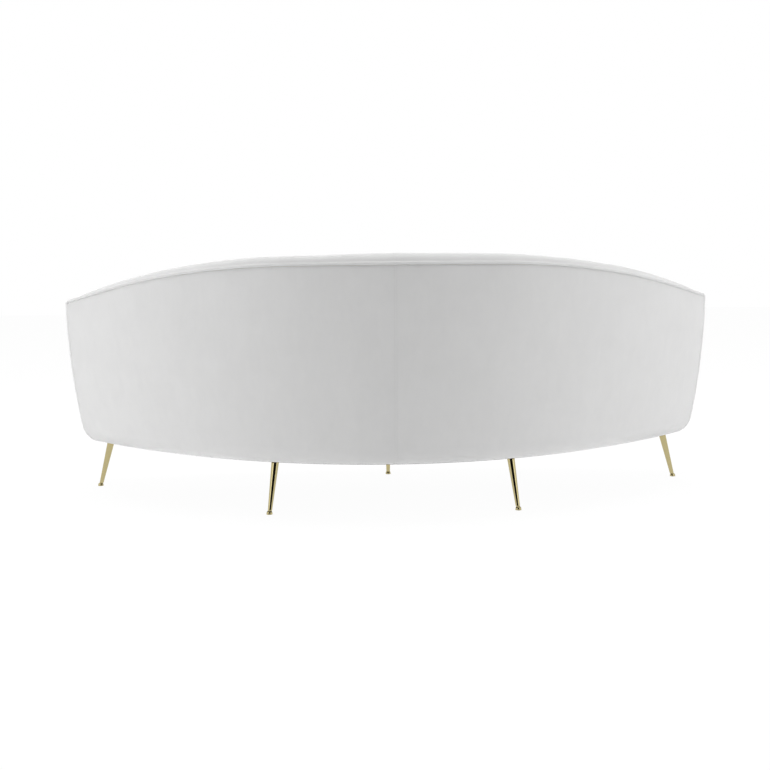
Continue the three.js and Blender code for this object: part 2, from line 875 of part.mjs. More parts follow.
function alongLeg(geometry, distance) {
  const turn = new THREE.Quaternion().setFromUnitVectors(new THREE.Vector3(0, 0, 1), legAxis);
  return geometry.applyQuaternion(turn).translate(...legAxis.clone().multiplyScalar(distance).toArray());
}

function rodAlongLeg(radius, from, to) {
  const rod = new THREE.CylinderGeometry(radius, radius, to - from, rodSides).rotateX(Math.PI / 2);
  return toSolid(alongLeg(rod, (from + to) / 2));
}

const legLength = Math.hypot(legLean, bodyBottom);

function legSolid() {
  const taper = new THREE.CylinderGeometry(
    legTopRadius + (overrun * (legTopRadius - legTipRadius)) / legLength,
    legTipRadius - (overrun * (legTopRadius - legTipRadius)) / legLength,
    legLength + 2 * overrun,
    legSides,
  ).rotateX(Math.PI / 2);
  const low = footTall + layerGap;
  const high = plateLow - layerGap;
  const slab = new THREE.BoxGeometry(4 * legLean, 4 * legLean, high - low);
  slab.translate(0, 0, (low + high) / 2);
  return toSolid(alongLeg(taper, legLength / 2))
    .intersect(toSolid(slab))
    .add(rodAlongLeg(studRadius, legLength - overrun, legLength + studLong))
    .subtract(rodAlongLeg(stemRadius + stemClear, 0, stemLong + stemClear));
}

function footSolid() {
  const dome = [];
  for (let k = 0; k <= domeSteps; k += 1) {
    const angle = mix(0, domeEndAngle, k / domeSteps);
    dome.push(new THREE.Vector2(
      footNeckRadius + (footRadius - footNeckRadius) * Math.cos(angle) ** domePower,
      footRimTall + (footTall - footRimTall) * Math.sin(angle),
    ));
  }
  const profile = [
    new THREE.Vector2(0, 0),
    new THREE.Vector2(footRadius, 0),
    ...dome,
    new THREE.Vector2(0, footTall),
  ];
  const turned = new THREE.LatheGeometry(profile, legSides).rotateX(Math.PI / 2);
  return toSolid(turned).add(rodAlongLeg(stemRadius, footTall / 2, stemLong));
}

function plateSolid() {
  const plate = new THREE.BoxGeometry(plateSide, plateSide, plateThick);
  plate.translate(-legLean, 0, plateLow + plateThick / 2);
  const hole = rodAlongLeg(studRadius + stemClear, legLength - overrun, legLength + overrun);
  return toSolid(plate).subtract(hole);
}

const legGeometry = toGeometry(legSolid());
const footGeometry = toGeometry(footSolid());
const plateGeometry = toGeometry(plateSolid());

const rearLeanAcross = legLean * rearLeanAcrossShare;
const rearHeading = Math.atan2(Math.sqrt(legLean ** 2 - rearLeanAcross ** 2), rearLeanAcross);
const rearFootY = -planDrop(rearFootAcross) - rearFootInside;
const endFootX = shellHalfSpan + endFootBeyond;
const endFootY = -planDrop(shellHalfSpan) - endFootBefore;
const legPlaces = [
  ['rear_left', rearFootAcross, rearFootY, rearHeading],
  ['rear_right', -rearFootAcross, rearFootY, Math.PI - rearHeading],
  ['end_left', endFootX, endFootY, 0],
  ['end_right', -endFootX, endFootY, Math.PI],
  ['front', 0, frontFootSetback - seatFront, -Math.PI / 2],
];

function placeInPlan(object, x, y, heading) {
  object.position.set(x, y, 0);
  object.rotation.z = heading;
  object.updateMatrixWorld();
}

// The space inside the rails, for the blocks that fill its edge above each leg
function insideRails() {
  const inset = (station) => (station.rear ? rearRailInner + layerGap : frontRailInner + layerGap);
  return toSolid(ringStack([
    levelRing(seatOutline, inset, blockLow),
    levelRing(seatOutline, inset, blockLow + blockTall),
  ]));
}

function blockGeometry(frame, region) {
  const wood = new THREE.BoxGeometry(blockDeep, blockAcross, blockTall);
  wood.translate(-legLean, 0, blockLow + blockTall / 2).applyMatrix4(frame.matrixWorld);
  const hole = new THREE.CylinderGeometry(studRadius + stemClear, studRadius + stemClear, legLength, rodSides)
    .rotateX(Math.PI / 2);
  alongLeg(hole, legLength + studLong + stemClear - legLength / 2).applyMatrix4(frame.matrixWorld);
  return toGeometry(toSolid(wood).intersect(region).subtract(toSolid(hole)));
}

function dustCoverHole(frame) {
  const side = plateSide + 2 * dustClear;
  const box = new THREE.BoxGeometry(side, side, overrun);
  box.translate(-legLean, 0, bodyBottom).applyMatrix4(frame.matrixWorld);
  return toSolid(box);
}

// The dust cover laps over the covers' lower edges, below the seat and below the back.
function plainDustCover() {
  const high = dustLow + dustThick;
  const belowBack = (station) => {
    const inner = insideLowAt(station) - 2 * dustInset;
    const outer = dustLap - bottomLap;
    return [[outer, dustLow], [outer, high], [inner, high], [inner, dustLow]];
  };
  const belowSeat = ringStack([dustLow, high].map((up) => levelRing(seatOutline, dustInset, up)));
  return toSolid(belowSeat).add(toSolid(pathLoft(backStations, belowBack)));
}

const region = insideRails();
let dustCover = plainDustCover();

for (const [place, x, y, heading] of legPlaces) {
  const stand = new THREE.Group();
  placeInPlan(stand, x, y, heading);
  sofa.add(stand);
  for (const [kind, geometry, finish] of [
    ['leg_plate', plateGeometry, 'steel'], ['leg', legGeometry, 'brass'], ['foot', footGeometry, 'brass'],
  ]) {
    const mesh = new THREE.Mesh(geometry.clone(), new THREE.MeshStandardMaterial(finishes[finish]));
    mesh.name = `${place}_${kind}`;
    stand.add(mesh);
  }
  addPiece(`${place}_leg_block`, blockGeometry(stand, region), 'timber');
  dustCover = dustCover.subtract(dustCoverHole(stand));
}
addPiece('dust_cover', toGeometry(dustCover), 'lining');

// The origin is on the floor, in the middle of the sofa's overall depth.
const extent = new THREE.Box3().setFromObject(sofa);
sofa.position.y = -(extent.min.y + extent.max.y) / 2;

export default sofa;
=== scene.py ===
import math
from collections import namedtuple

import bpy
import numpy as np
from mathutils import Matrix, Vector, geometry


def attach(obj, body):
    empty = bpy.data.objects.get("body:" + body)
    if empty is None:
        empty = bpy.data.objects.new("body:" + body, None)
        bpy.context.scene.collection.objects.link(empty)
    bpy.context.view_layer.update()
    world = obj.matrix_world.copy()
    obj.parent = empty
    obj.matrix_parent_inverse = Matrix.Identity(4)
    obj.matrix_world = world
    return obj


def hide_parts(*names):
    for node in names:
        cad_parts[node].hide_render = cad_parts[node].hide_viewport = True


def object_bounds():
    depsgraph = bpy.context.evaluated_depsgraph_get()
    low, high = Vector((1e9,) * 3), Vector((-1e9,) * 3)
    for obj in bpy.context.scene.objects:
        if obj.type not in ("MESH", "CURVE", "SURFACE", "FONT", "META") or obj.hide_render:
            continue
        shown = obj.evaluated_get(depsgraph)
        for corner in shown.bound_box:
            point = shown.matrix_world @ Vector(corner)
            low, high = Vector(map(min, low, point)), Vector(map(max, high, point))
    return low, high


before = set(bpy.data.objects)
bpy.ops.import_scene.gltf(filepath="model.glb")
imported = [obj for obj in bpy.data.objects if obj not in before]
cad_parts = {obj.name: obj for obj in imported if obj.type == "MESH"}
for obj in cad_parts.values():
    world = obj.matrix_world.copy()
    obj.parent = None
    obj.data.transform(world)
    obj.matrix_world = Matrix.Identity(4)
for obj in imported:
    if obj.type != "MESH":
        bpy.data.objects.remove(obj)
cad_low, cad_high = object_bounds()

# A curved sofa: a bent back shell whose ends taper into arms, a crescent seat, five splayed metal legs.
# Metres, +Z up, the seat faces -Y. Left and right are the sitter's, so left is +X.
# "Out" is measured square to the back's plan curve, away from the sitter.

# Heights above the floor
body_bottom = 0.178
rail_top = 0.300
border_top = 0.396
seat_edge_top = 0.432
seat_crown = 0.016
back_top = 0.7955
arm_tip_top = 0.689

# The back's plan curve
plan_radius = 1.042
half_span = 1.042
level_half = 0.270
bend_half = 0.850

# The outside face: a large arc, upright at the top edge, and the round of the lower edge
outside_radius = 2.300
lower_radius = 0.082
bottom_lap = 0.006

# The crowned pad along the top, and the inside face
crown_middle = 0.030
crown_end = 0.020
crown_round_power = 16
crest_setback = 0.050
crown_rise_shares = (0.32, 0.76)
crown_fall_shares = (0.60, 0.72)
crown_fall_drop = 0.005
shoulder_middle = 0.122
shoulder_end = 0.078
shoulder_drop = 0.046
lumbar_share = 0.5
inside_low_middle = -0.038
inside_low_end = -0.004
inside_low_rise = 0.014
deck_clear = 0.0056

# Layers, from outside to inside
cover_thick = 0.003
wadding_thick = 0.008
panel_thick = 0.003
frame_thick_middle = 0.054
frame_thick_end = 0.030
padded_thick = 0.008
cloth_thick = 0.002
layer_gap = 0.0003
curved_gap = 0.0007
seam_gap = 0.0004
facing_thick = 0.014

# Piping
piping_radius = 0.0056
piping_inset = 0.002
seat_piping_inset = 0.003
piping_pitch = 0.006
piping_lump = 0.016
piping_sway = 0.0003
piping_sway_length = 0.050

# The seat's plan
seat_before_arms = 0.2675
seat_front_radius = 5.500
seat_end_out = 0.034
seat_end_run = 0.050
seat_back_gap = 0.0004
seat_round = 0.024
seat_crown_reach = 0.200
seat_crown_power = 2.2

# The seat's mesh, and how near its edge its relief fades out
seat_half_width = 1.200
seat_deep = 0.500
seat_pitch_across = 0.010
seat_pitch_deep = 0.012
seat_swell_fade = 0.060
seat_seam_fade = 0.012
seat_pucker_fade = 0.004
hairline = 0.000001

# The foam's mesh, and how the seat's foam stays inside its cover
foam_pitch = 0.022
back_foam_pitch = 0.024
foam_edge_step = 0.004
foam_rear_gap = 0.002
foam_front_gap = 0.012
foam_end_gap = 0.018
foam_top_gap = 0.0012

# The border below the seat
border_lean = 0.010
border_round = 0.030
border_rise_pitch = 0.010
border_end_fade = 0.020
border_wadding_pitch = 0.018
border_wadding_sunk = 0.0012
border_wadding_squash = 0.002

# The padded end of each arm
facing_pitch = 0.009
facing_round = 0.0035
facing_crown = 0.0028
facing_flat_edge = 0.003
facing_crown_reach = 0.045
facing_wave = 0.0004
facing_wave_length = 0.050

# Webbing and cloths
back_cloth_thick = 0.0012
back_cloth_pitch = 0.030
strap_wide = 0.056
strap_thick = 0.0011
strap_middle_up = 0.3014
strap_weave = 0.00062
strap_pairs = 4
outer_strap_inside = 0.258
strap_lap = 0.006
strap_front_inset = 0.026
cross_strap_level = 0.030
long_strap_level = 0.032
strap_slope_run = 0.030
long_strap_outs = (0.150, 0.380)
long_strap_pairs = (4, 2)
deck_inset = 0.018
deck_low = 0.3029
deck_thick = 0.0012
deck_pitch = 0.030
deck_wave = 0.0006
deck_wave_length = 0.120
under_cloth_low = 0.1762
under_cloth_thick = 0.0012
under_cloth_inset = 0.034
under_cloth_lap = 0.003
under_cloth_pitch = 0.012
under_cloth_fill_pitch = 0.022
under_cloth_end_gap = 0.004
under_cloth_sag = 0.0006
under_cloth_sag_reach = 0.030
under_cloth_wave_length = 0.180
plate_hole_side = 0.061

# Legs
leg_lean = 0.048
leg_top_radius = 0.013
leg_tip_radius = 0.0066
leg_low = 0.0108
leg_high = 0.1734
leg_bevel = 0.0006
leg_plain_from = 0.004
leg_plain_to = 0.006
weld_tall = 0.0035
weld_out = 0.0016
weld_shares = ((1, 0), (4 / 7, 0.3), (2 / 7, 0.7), (0, 1))
foot_radius = 0.0101
foot_tall = 0.0105
foot_neck_radius = 0.0054
foot_rim_tall = 0.0016
foot_hollow_in = 0.0018
foot_hollow_up = 0.0003
foot_tread_in = 0.0012
foot_base_round = 0.0005
foot_rim_bevel = 0.0002
foot_rim_bevel_tall = 0.0003
foot_neck_lip = 0.0008
stem_radius = 0.0029
stem_long = 0.034
stem_thread_deep = 0.0003
rear_foot_across = 0.405
rear_foot_inside = 0.0183
end_foot_beyond = 0.042
end_foot_before = 0.0655
front_foot_setback = 0.0715
rear_lean_share = 0.42
plate_low = 0.1737
plate_screw_half = 0.021

# Stitches, screws and staples
stitch_pitch = 0.0042
stitch_long = 0.0033
stitch_rise = 0.0008
thread_radius = 0.00028
screw_radius = 0.0042
screw_tall = 0.0021
screw_shares = (
    (1, 0), (1, 0.25), (0.93, 0.6), (0.8, 0.85),
    (0.6, 1), (0.42, 1.03), (0.22, 1.04), (0.08, 1.04),
)
screw_seed = 5
staple_wide = 0.0105
staple_bend = 0.0005
staple_deep = 0.0016
wire_thick = 0.0006
staple_pitch = 0.036
staple_inset = 0.007
staple_least_inset = 0.0065
staple_gap = 0.030
staple_slant = 0.35
staple_seed = 8

# Upholstery relief: how the cloth is drawn in at seams and swells between them
edge_pull = 0.0012
edge_pull_reach = 0.0032
pucker_depth = 0.0007
pucker_length = 0.021
pucker_reach = 0.014
swell_depth = 0.0011
swell_length = 0.260
topstitch_out = 0.0030
end_turn_in = 0.0005
end_turn_reach = 0.0012
# How far the painted crease shade beside a piped seam reaches
seam_shade_reach = 0.006
hem_fade = 0.030
arm_end_fade = 0.035

# From one mesh point to the next: over a cover, beside a seam and at a cut edge
cover_pitch = 0.008
seam_step = 0.005
edge_step = 0.0008

# How the wadding gives below the outer cover
wadding_pitch = 0.016
wadding_fade = 0.050
wadding_play = 0.0002
wadding_squash = 0.001

# Skins of the covers
taut_skin = 0.0024
padded_skin = 0.0065

# Cloth that is let swell between its sewn lines
swell_frames = 20
swell_blow = 0.6
swell_spare = 0.0015
seat_swell_most = 0.008
back_swell_most = 0.006

# Where the seat begins to hide the inside back, and where the blown cloth is free below the roll
seat_hides_below = 0.010
seat_hides_fade = 0.040
stitch_above_seat = 0.020
blown_from = 0.075
blown_fade = 0.090

# How the roll stands out just above the piping
roll_swell = 0.0012
roll_swell_up = 0.019
roll_swell_reach = 0.013

# The middle seam: a sunk fold, a low ridge beside it, and the line that its topstitching draws in
seam_fold_depth = 0.0001
seam_fold_reach = 0.0006
seam_ridge_height = 0.0003
seam_ridge_out = 0.0015
seam_ridge_reach = 0.0008
stitch_sink = 0.0003
stitch_sink_reach = 0.0007

# Angles past which an edge stays crisp
cloth_crisp = math.radians(50)
piping_crisp = math.radians(70)
leg_crisp = math.radians(60)
dome_crisp = math.radians(35)
thread_crisp = math.radians(40)
screw_crisp = math.radians(30)

# Turns plan points into those of the other side, and names the two sides
mirrored = np.array([-1, 1])
left_and_right = ((1, "left"), (-1, "right"))

# The studio: the floor, the level of the light all round, and the lamps with their power in watts
Lamp = namedtuple("Lamp", "name place aim size power shape")
floor_size = 60.0
world_level = 0.39
lamps = (
    Lamp("left_softbox", (13.0, 2.0, 2.0), (0.6, 0.2, 0.45), (5.0, 4.0), 850, "RECTANGLE"),
    Lamp("right_softbox", (-13.0, 2.0, 2.0), (-0.6, 0.2, 0.45), (5.0, 4.0), 790, "RECTANGLE"),
    Lamp("front_softbox", (0, -3.4, 2.4), (0, 0, 0.5), (3.0, 1.6), 50, "RECTANGLE"),
    Lamp("low_softbox", (0, -0.10, 0.01), (0, -0.10, 1), (1.7, 0.85), 3.6, "ELLIPSE"),
    Lamp("top_softbox", (0, 0.7, 8.8), (0, 0.2, 0.5), (5.0, 3.0), 450, "RECTANGLE"),
)

# Cards that only the metal shows: a dark one behind the sofa, and a lit one beyond each end
dark_card_half = 1.36
dark_card_behind = 1.65
dark_card_top = 1.6
lit_card_near = (1.493, 1.283)
lit_card_far = (1.656, 1.078)
lit_card_low = 0.12
lit_card_top = 1.3
lit_card_glow = 3.0

# The camera's place, its turns in radians, and its lens in millimetres
camera_place = (0.10825, 3.09974, 0.71344)
camera_yaw = -0.0285
camera_pitch = 0.103115047
camera_roll = -0.010902374
camera_sensor_width = 36
camera_lens = 42.218
camera_clip = (0.05, 100)


def mix(first, last, share):
    return first + (last - first) * share


def smooth_step(value):
    value = np.clip(value, 0, 1)
    return value * value * (3 - 2 * value)


def bell(distance, reach):
    """1 at no distance, falling to nothing past about twice the reach."""
    return np.exp(-((distance / reach) ** 2))


def circle(sides):
    """The angles of a circle's corners."""
    return np.linspace(0, 2 * math.pi, sides + 1)[:-1]


def run_along(line):
    """The distance from a line's first point to each of its points."""
    return np.concatenate([[0], np.cumsum(np.linalg.norm(np.diff(line, axis=0), axis=1))])


def cubic_between(before, start, end, after, t):
    """A smooth curve from start to end, its slopes taken from the points before and after."""
    leave, arrive = (end - before) / 2, (after - start) / 2
    return (
        (2 * start - 2 * end + leave + arrive) * t**3
        + (3 * end - 3 * start - 2 * leave - arrive) * t**2
        + leave * t
        + start
    )


def spaced(first, last, pitch, fine_first=None, fine_last=None, growth=1.35):
    """Places from first to last, closer together at an end that is given a fine step."""
    def steps(fine):
        sizes = []
        size = fine or pitch
        while size < pitch:
            sizes.append(size)
            size *= growth
        return sizes

    head, tail = steps(fine_first), steps(fine_last)
    room = abs(last - first) - sum(head) - sum(tail)
    count = max(1, round(room / pitch))
    sizes = [*head, *([room / count] * count), *reversed(tail)]
    places = np.concatenate([[0], np.cumsum(sizes)])
    return first + places * math.copysign(1, last - first)


def soft_noise(a, b, size, seed):
    """Smooth values from -1 to 1 that change over about 'size'."""
    table = np.random.default_rng(seed).uniform(-1, 1, (64, 64))
    a, b = np.broadcast_arrays(np.asarray(a, float) / size, np.asarray(b, float) / size)
    low_a, low_b = np.floor(a).astype(int), np.floor(b).astype(int)
    share_a, share_b = smooth_step(a - low_a), smooth_step(b - low_b)

    def corner(step_a, step_b):
        return table[(low_a + step_a) % 64, (low_b + step_b) % 64]

    return mix(
        mix(corner(0, 0), corner(1, 0), share_a),
        mix(corner(0, 1), corner(1, 1), share_a),
        share_b,
    )


# The back's plan curve and its sections

Path = namedtuple("Path", "x y nx ny share run")


def outside_top(across):
    reach = np.minimum(np.abs(across), half_span)
    bend = bend_half - level_half
    slope = (back_top - arm_tip_top) / (bend / 2 + half_span - bend_half)
    curved = back_top - slope * (reach - level_half) ** 2 / (2 * bend)
    straight = back_top - slope * (bend / 2 + reach - bend_half)
    return np.where(reach <= level_half, back_top, np.where(reach <= bend_half, curved, straight))


def arcs(across):
    """Top height, height of the round edge's centre, and how far the large arc's centre lies inside it."""
    top = outside_top(across)
    low_up = body_bottom + lower_radius
    spread = np.sqrt((outside_radius - lower_radius) ** 2 - (top - low_up) ** 2)
    return top, low_up, spread


def flare_at(across):
    return outside_radius - arcs(across)[2]


back_line = cad_high.y - float(flare_at(0.0)) + piping_inset - piping_radius


def plan_y(across):
    return back_line - across**2 / (2 * plan_radius)


def back_path(across):
    across = np.asarray(across, float)
    slope = across / plan_radius
    length = np.hypot(slope, 1)
    run = plan_radius / 2 * (slope * length + np.arcsinh(slope))
    share = np.minimum(np.abs(across) / half_span, 1)
    return Path(across, plan_y(across), slope / length, 1 / length, share, run)


def on_path(path, out, up):
    """Points at each station of a path, a row of [out, up] places a station."""
    out, up = np.broadcast_arrays(out, up)
    x = path.x[:, None] + out * path.nx[:, None]
    y = path.y[:, None] + out * path.ny[:, None]
    return np.stack([x, y, up], axis=2)


def arc_columns(path):
    """The arcs' measures, a row for each station."""
    return [np.reshape(measure, (-1, 1)) for measure in arcs(path.x)]


def outside_face(path, depth, drops, low_steps=10):
    """Out and up of a line parallel to the outside face, from its lowest point to drops below the top."""
    top, low_up, spread = arc_columns(path)
    small, large = lower_radius - depth, outside_radius - depth
    meet = np.arctan2(low_up - top, spread)
    low_share = np.linspace(0, 1, low_steps + 1)[:-1][None, :]
    low_angle = mix(-math.pi / 2, meet, low_share)
    drops = np.asarray(drops)[None, :] if np.ndim(drops) == 1 else drops
    high_angle = np.arcsin(-drops / large)
    out = np.concatenate([small * np.cos(low_angle), large * np.cos(high_angle) - spread], axis=1)
    up = np.concatenate([low_up + small * np.sin(low_angle), top + large * np.sin(high_angle)], axis=1)
    return out, up


def outside_drops(path, depth, first_drop, near, count):
    """Drops below the top: the near ones are fixed, the others divide what is left to the round edge."""
    top, low_up, spread = arc_columns(path)
    meet = np.arctan2(low_up - top, spread)
    lowest = -(outside_radius - depth) * np.sin(meet)
    near = first_drop + np.asarray(near)
    rest = mix(lowest, near[-1], np.linspace(0, 1, count + 1)[None, :])
    fixed = np.broadcast_to(near[-2::-1][None, :], (len(path.x), len(near) - 1))
    return np.concatenate([rest, fixed], axis=1)


def inside_low(share):
    return mix(inside_low_middle, inside_low_end, share**2)


def frame_thick(share):
    return mix(frame_thick_middle, frame_thick_end, share**2)


def crown_at(share):
    return mix(crown_middle, crown_end, share) * np.sqrt(1 - share**crown_round_power)


def smooth_through(control, steps):
    """A curve through control points, an even number of steps between each pair."""
    control = np.asarray(control)
    padded = np.concatenate([control[:1], control, control[-1:]])
    pieces = []
    for k in range(len(control) - 1):
        before, start, end, after = padded[k : k + 4]
        t = np.linspace(0, 1, steps + 1)[:-1].reshape(-1, *([1] * start.ndim))
        pieces.append(cubic_between(before, start, end, after, t))
    return np.concatenate([*pieces, control[-1:]])


def inside_face(path, steps=12, tail_steps=8):
    """Out and up of the inside face, from beside the piping over the crown and down to below the seat."""
    top = outside_top(path.x)
    flare = flare_at(path.x)
    crown, low = crown_at(path.share), inside_low(path.share)
    shoulder = flare - mix(shoulder_middle, shoulder_end, path.share**2)
    edge = flare - piping_inset - piping_radius - curved_gap
    crest = flare - crest_setback
    shoulder_up = top - shoulder_drop
    low_up = np.full_like(low, seat_edge_top + seat_crown + inside_low_rise)
    control = [
        [edge, top - curved_gap],
        [mix(edge, crest, crown_rise_shares[0]), top + crown * crown_rise_shares[1]],
        [crest, top + crown],
        [mix(crest, shoulder, crown_fall_shares[0]), top + crown * crown_fall_shares[1] - crown_fall_drop],
        [shoulder, shoulder_up],
        [mix(shoulder, low, lumbar_share), mix(shoulder_up, low_up, lumbar_share)],
        [low, low_up],
    ]
    curve = smooth_through(control, steps)
    out, up = curve[:, 0, :].T, curve[:, 1, :].T
    tail_up = np.linspace(up[:, -1], rail_top + deck_clear, tail_steps + 1)[1:].T
    tail_out = np.repeat(low[:, None], tail_steps, axis=1)
    return np.concatenate([out, tail_out], axis=1), np.concatenate([up, tail_up], axis=1)


# Meshes

def signed_volume(points, faces):
    fans = np.concatenate([faces[:, [0, k, k + 1]] for k in range(1, faces.shape[1] - 1)])
    a, b, c = points[fans[:, 0]], points[fans[:, 1]], points[fans[:, 2]]
    return float((a * np.cross(b, c)).sum())


def add_object(name, data):
    made = bpy.data.objects.new(name, data)
    bpy.context.scene.collection.objects.link(made)
    return made


def smooth_mesh(name, points, faces, uv, crisp):
    """A mesh that is smooth but for its crisp edges; uv gives each point its place on the cloth."""
    mesh = bpy.data.meshes.new(name)
    mesh.from_pydata(points.tolist(), [], faces)
    if uv is not None:
        corners = np.empty(len(mesh.loops), int)
        mesh.loops.foreach_get("vertex_index", corners)
        mesh.uv_layers.new(name="cloth").data.foreach_set("uv", np.asarray(uv, float)[corners].ravel())
    mesh.shade_smooth()
    mesh.set_sharp_from_angle(angle=crisp)
    return mesh


def make_object(name, points, faces, uv=None, shade=None):
    """A closed body of quads or triangles, turned so that its faces point outwards."""
    points, faces = np.asarray(points, float), np.asarray(faces)
    if signed_volume(points - points.mean(0), faces) < 0:
        faces = faces[:, ::-1]
    mesh = smooth_mesh(name, points, faces.tolist(), uv, cloth_crisp)
    # seam_shade carries the painted crease shade beside piped seams
    if shade is not None:
        mesh.attributes.new("seam_shade", "FLOAT", "POINT").data.foreach_set("value", np.ravel(shade))
    return add_object(name, mesh)


def grid_faces(rows, columns):
    index = np.arange(rows * columns).reshape(rows, columns)
    return np.stack([index[:-1, :-1], index[1:, :-1], index[1:, 1:], index[:-1, 1:]], axis=2).reshape(-1, 4)


def grid_rim(rows, columns):
    index = np.arange(rows * columns).reshape(rows, columns)
    return np.concatenate([index[:-1, 0], index[-1, :-1], index[:0:-1, -1], index[0, :0:-1]])


def shell(name, outer, inner, uv=None, shade=None):
    """A closed layer between two grids of points."""
    rows, columns = outer.shape[:2]
    count = rows * columns
    faces = grid_faces(rows, columns)
    rim = grid_rim(rows, columns)
    after = np.roll(rim, -1)
    walls = np.stack([after, rim, rim + count, after + count], axis=1)
    points = np.concatenate([outer.reshape(-1, 3), inner.reshape(-1, 3)])
    both_uv = None if uv is None else np.tile(uv.reshape(-1, 2), (2, 1))
    both_shade = None if shade is None else np.concatenate([shade.ravel(), np.zeros(count)])
    both_faces = np.concatenate([faces, faces[:, ::-1] + count, walls])
    return make_object(name, points, both_faces, both_uv, both_shade)


def grid_normals(points, towards):
    """Directions square to a grid's surface, on the side of 'towards'."""
    normals = np.cross(np.gradient(points, axis=0), np.gradient(points, axis=1))
    normals /= np.linalg.norm(normals, axis=2, keepdims=True)
    middle = normals[len(normals) // 2, normals.shape[1] // 2]
    return normals * math.copysign(1, float(middle @ np.asarray(towards, float)))


def grid_uv(points):
    """Distances along the rows and the columns of a grid, for patterns that follow the cloth."""
    across = np.linalg.norm(np.diff(points, axis=0), axis=2).mean(1)
    up = np.linalg.norm(np.diff(points, axis=1), axis=2).mean(0)
    u = np.concatenate([[0], np.cumsum(across)])
    v = np.concatenate([[0], np.cumsum(up)])
    return np.stack(np.meshgrid(u, v, indexing="ij"), axis=2)


def ring_body(name, rings, crisp, uv=None):
    """A closed body through rings of points, filled to a point at each end."""
    levels, sides = rings.shape[:2]
    index = np.arange(levels * sides).reshape(levels, sides)
    after = np.roll(index, -1, axis=1)
    walls = np.stack([index[:-1], after[:-1], after[1:], index[1:]], axis=2).reshape(-1, 4)
    first, last = levels * sides, levels * sides + 1
    start = np.stack([after[0], index[0], np.full(sides, first)], axis=1)
    end = np.stack([index[-1], after[-1], np.full(sides, last)], axis=1)
    points = np.concatenate([rings.reshape(-1, 3), [rings[0].mean(0)], [rings[-1].mean(0)]])
    faces = [*walls.tolist(), *start.tolist(), *end.tolist()]
    triangles = np.concatenate([walls[:, [0, 1, 2]], walls[:, [0, 2, 3]], start, end])
    if signed_volume(points - points.mean(0), triangles) < 0:
        faces = [face[::-1] for face in faces]
    flat_uv = None if uv is None else np.concatenate([uv.reshape(-1, 2), uv[0, :1], uv[-1, :1]])
    return add_object(name, smooth_mesh(name, points, faces, flat_uv, crisp))


def joined(name, pieces):
    """One object from several made for it."""
    with bpy.context.temp_override(active_object=pieces[0], selected_editable_objects=pieces):
        bpy.ops.object.join()
    pieces[0].name = name
    pieces[0].data.name = name
    return pieces[0]


# Flat pieces filled inside an outline

def edge_distance(places, outline):
    """How far each place lies from a closed outline."""
    start = np.asarray(outline, float)
    step = np.roll(start, -1, axis=0) - start
    length = np.maximum((step**2).sum(1), 1e-18)
    nearest = np.full(len(places), 1e9)
    for part in np.array_split(np.arange(len(places)), max(1, len(places) // 2000)):
        to = places[part][:, None, :] - start[None]
        share = np.clip((to * step[None]).sum(2) / length[None], 0, 1)
        away = to - share[..., None] * step[None]
        nearest[part] = np.sqrt((away**2).sum(2)).min(1)
    return nearest


def inside_outline(places, outline):
    start = np.asarray(outline, float)
    end = np.roll(start, -1, axis=0)
    inside = np.zeros(len(places), bool)
    for (ax, ay), (bx, by) in zip(start, end):
        crosses = (ay > places[:, 1]) != (by > places[:, 1])
        if crosses.any():
            at = ax + (bx - ax) * (places[:, 1] - ay) / ((by - ay) or 1e-12)
            inside ^= crosses & (places[:, 0] < at)
    return inside


def shifted_ring(outline, inset):
    """An outline moved inwards; where it would cross itself the caller drops the points."""
    start = np.asarray(outline, float)
    run = np.roll(start, -1, axis=0) - np.roll(start, 1, axis=0)
    run /= np.linalg.norm(run, axis=1, keepdims=True)
    area = (start[:, 0] * np.roll(start[:, 1], -1) - np.roll(start[:, 0], -1) * start[:, 1]).sum()
    square = np.stack([-run[:, 1], run[:, 0]], axis=1) * math.copysign(1, area)
    return start + square * inset


def filled(outline, holes, pitch, insets=()):
    """Places and triangles that fill an outline: rings near its edge, a staggered grid, holes left open."""
    loops = [np.asarray(loop, float) for loop in (outline, *holes)]
    ground = [np.concatenate(loops)]
    for inset in insets:
        ring = shifted_ring(loops[0], inset)
        keep = inside_outline(ring, loops[0]) & (edge_distance(ring, loops[0]) > 0.9 * inset)
        ground.append(ring[keep])
    low, high = loops[0].min(0), loops[0].max(0)
    rows = np.arange(low[1], high[1], pitch * 0.87)
    grid = np.array([
        (x + (k % 2) * pitch / 2, y)
        for k, y in enumerate(rows)
        for x in np.arange(low[0], high[0], pitch)
    ])
    deepest = (max(insets) if len(insets) else 0) + 0.45 * pitch
    grid = grid[inside_outline(grid, loops[0]) & (edge_distance(grid, loops[0]) > deepest)]
    ground.append(grid)
    places = np.concatenate(ground)
    edges, first = [], 0
    for loop in loops:
        count = len(loop)
        edges += [(first + k, first + (k + 1) % count) for k in range(count)]
        first += count
    found = geometry.delaunay_2d_cdt([Vector(p) for p in places], edges, [], 0, 1e-7)
    places = np.array([(v.x, v.y) for v in found[0]])
    triangles = np.array([face for face in found[2] if len(face) == 3])
    middle = places[triangles].mean(1)
    keep = inside_outline(middle, loops[0])
    for hole in loops[1:]:
        keep &= ~inside_outline(middle, hole)
    return places, triangles[keep]


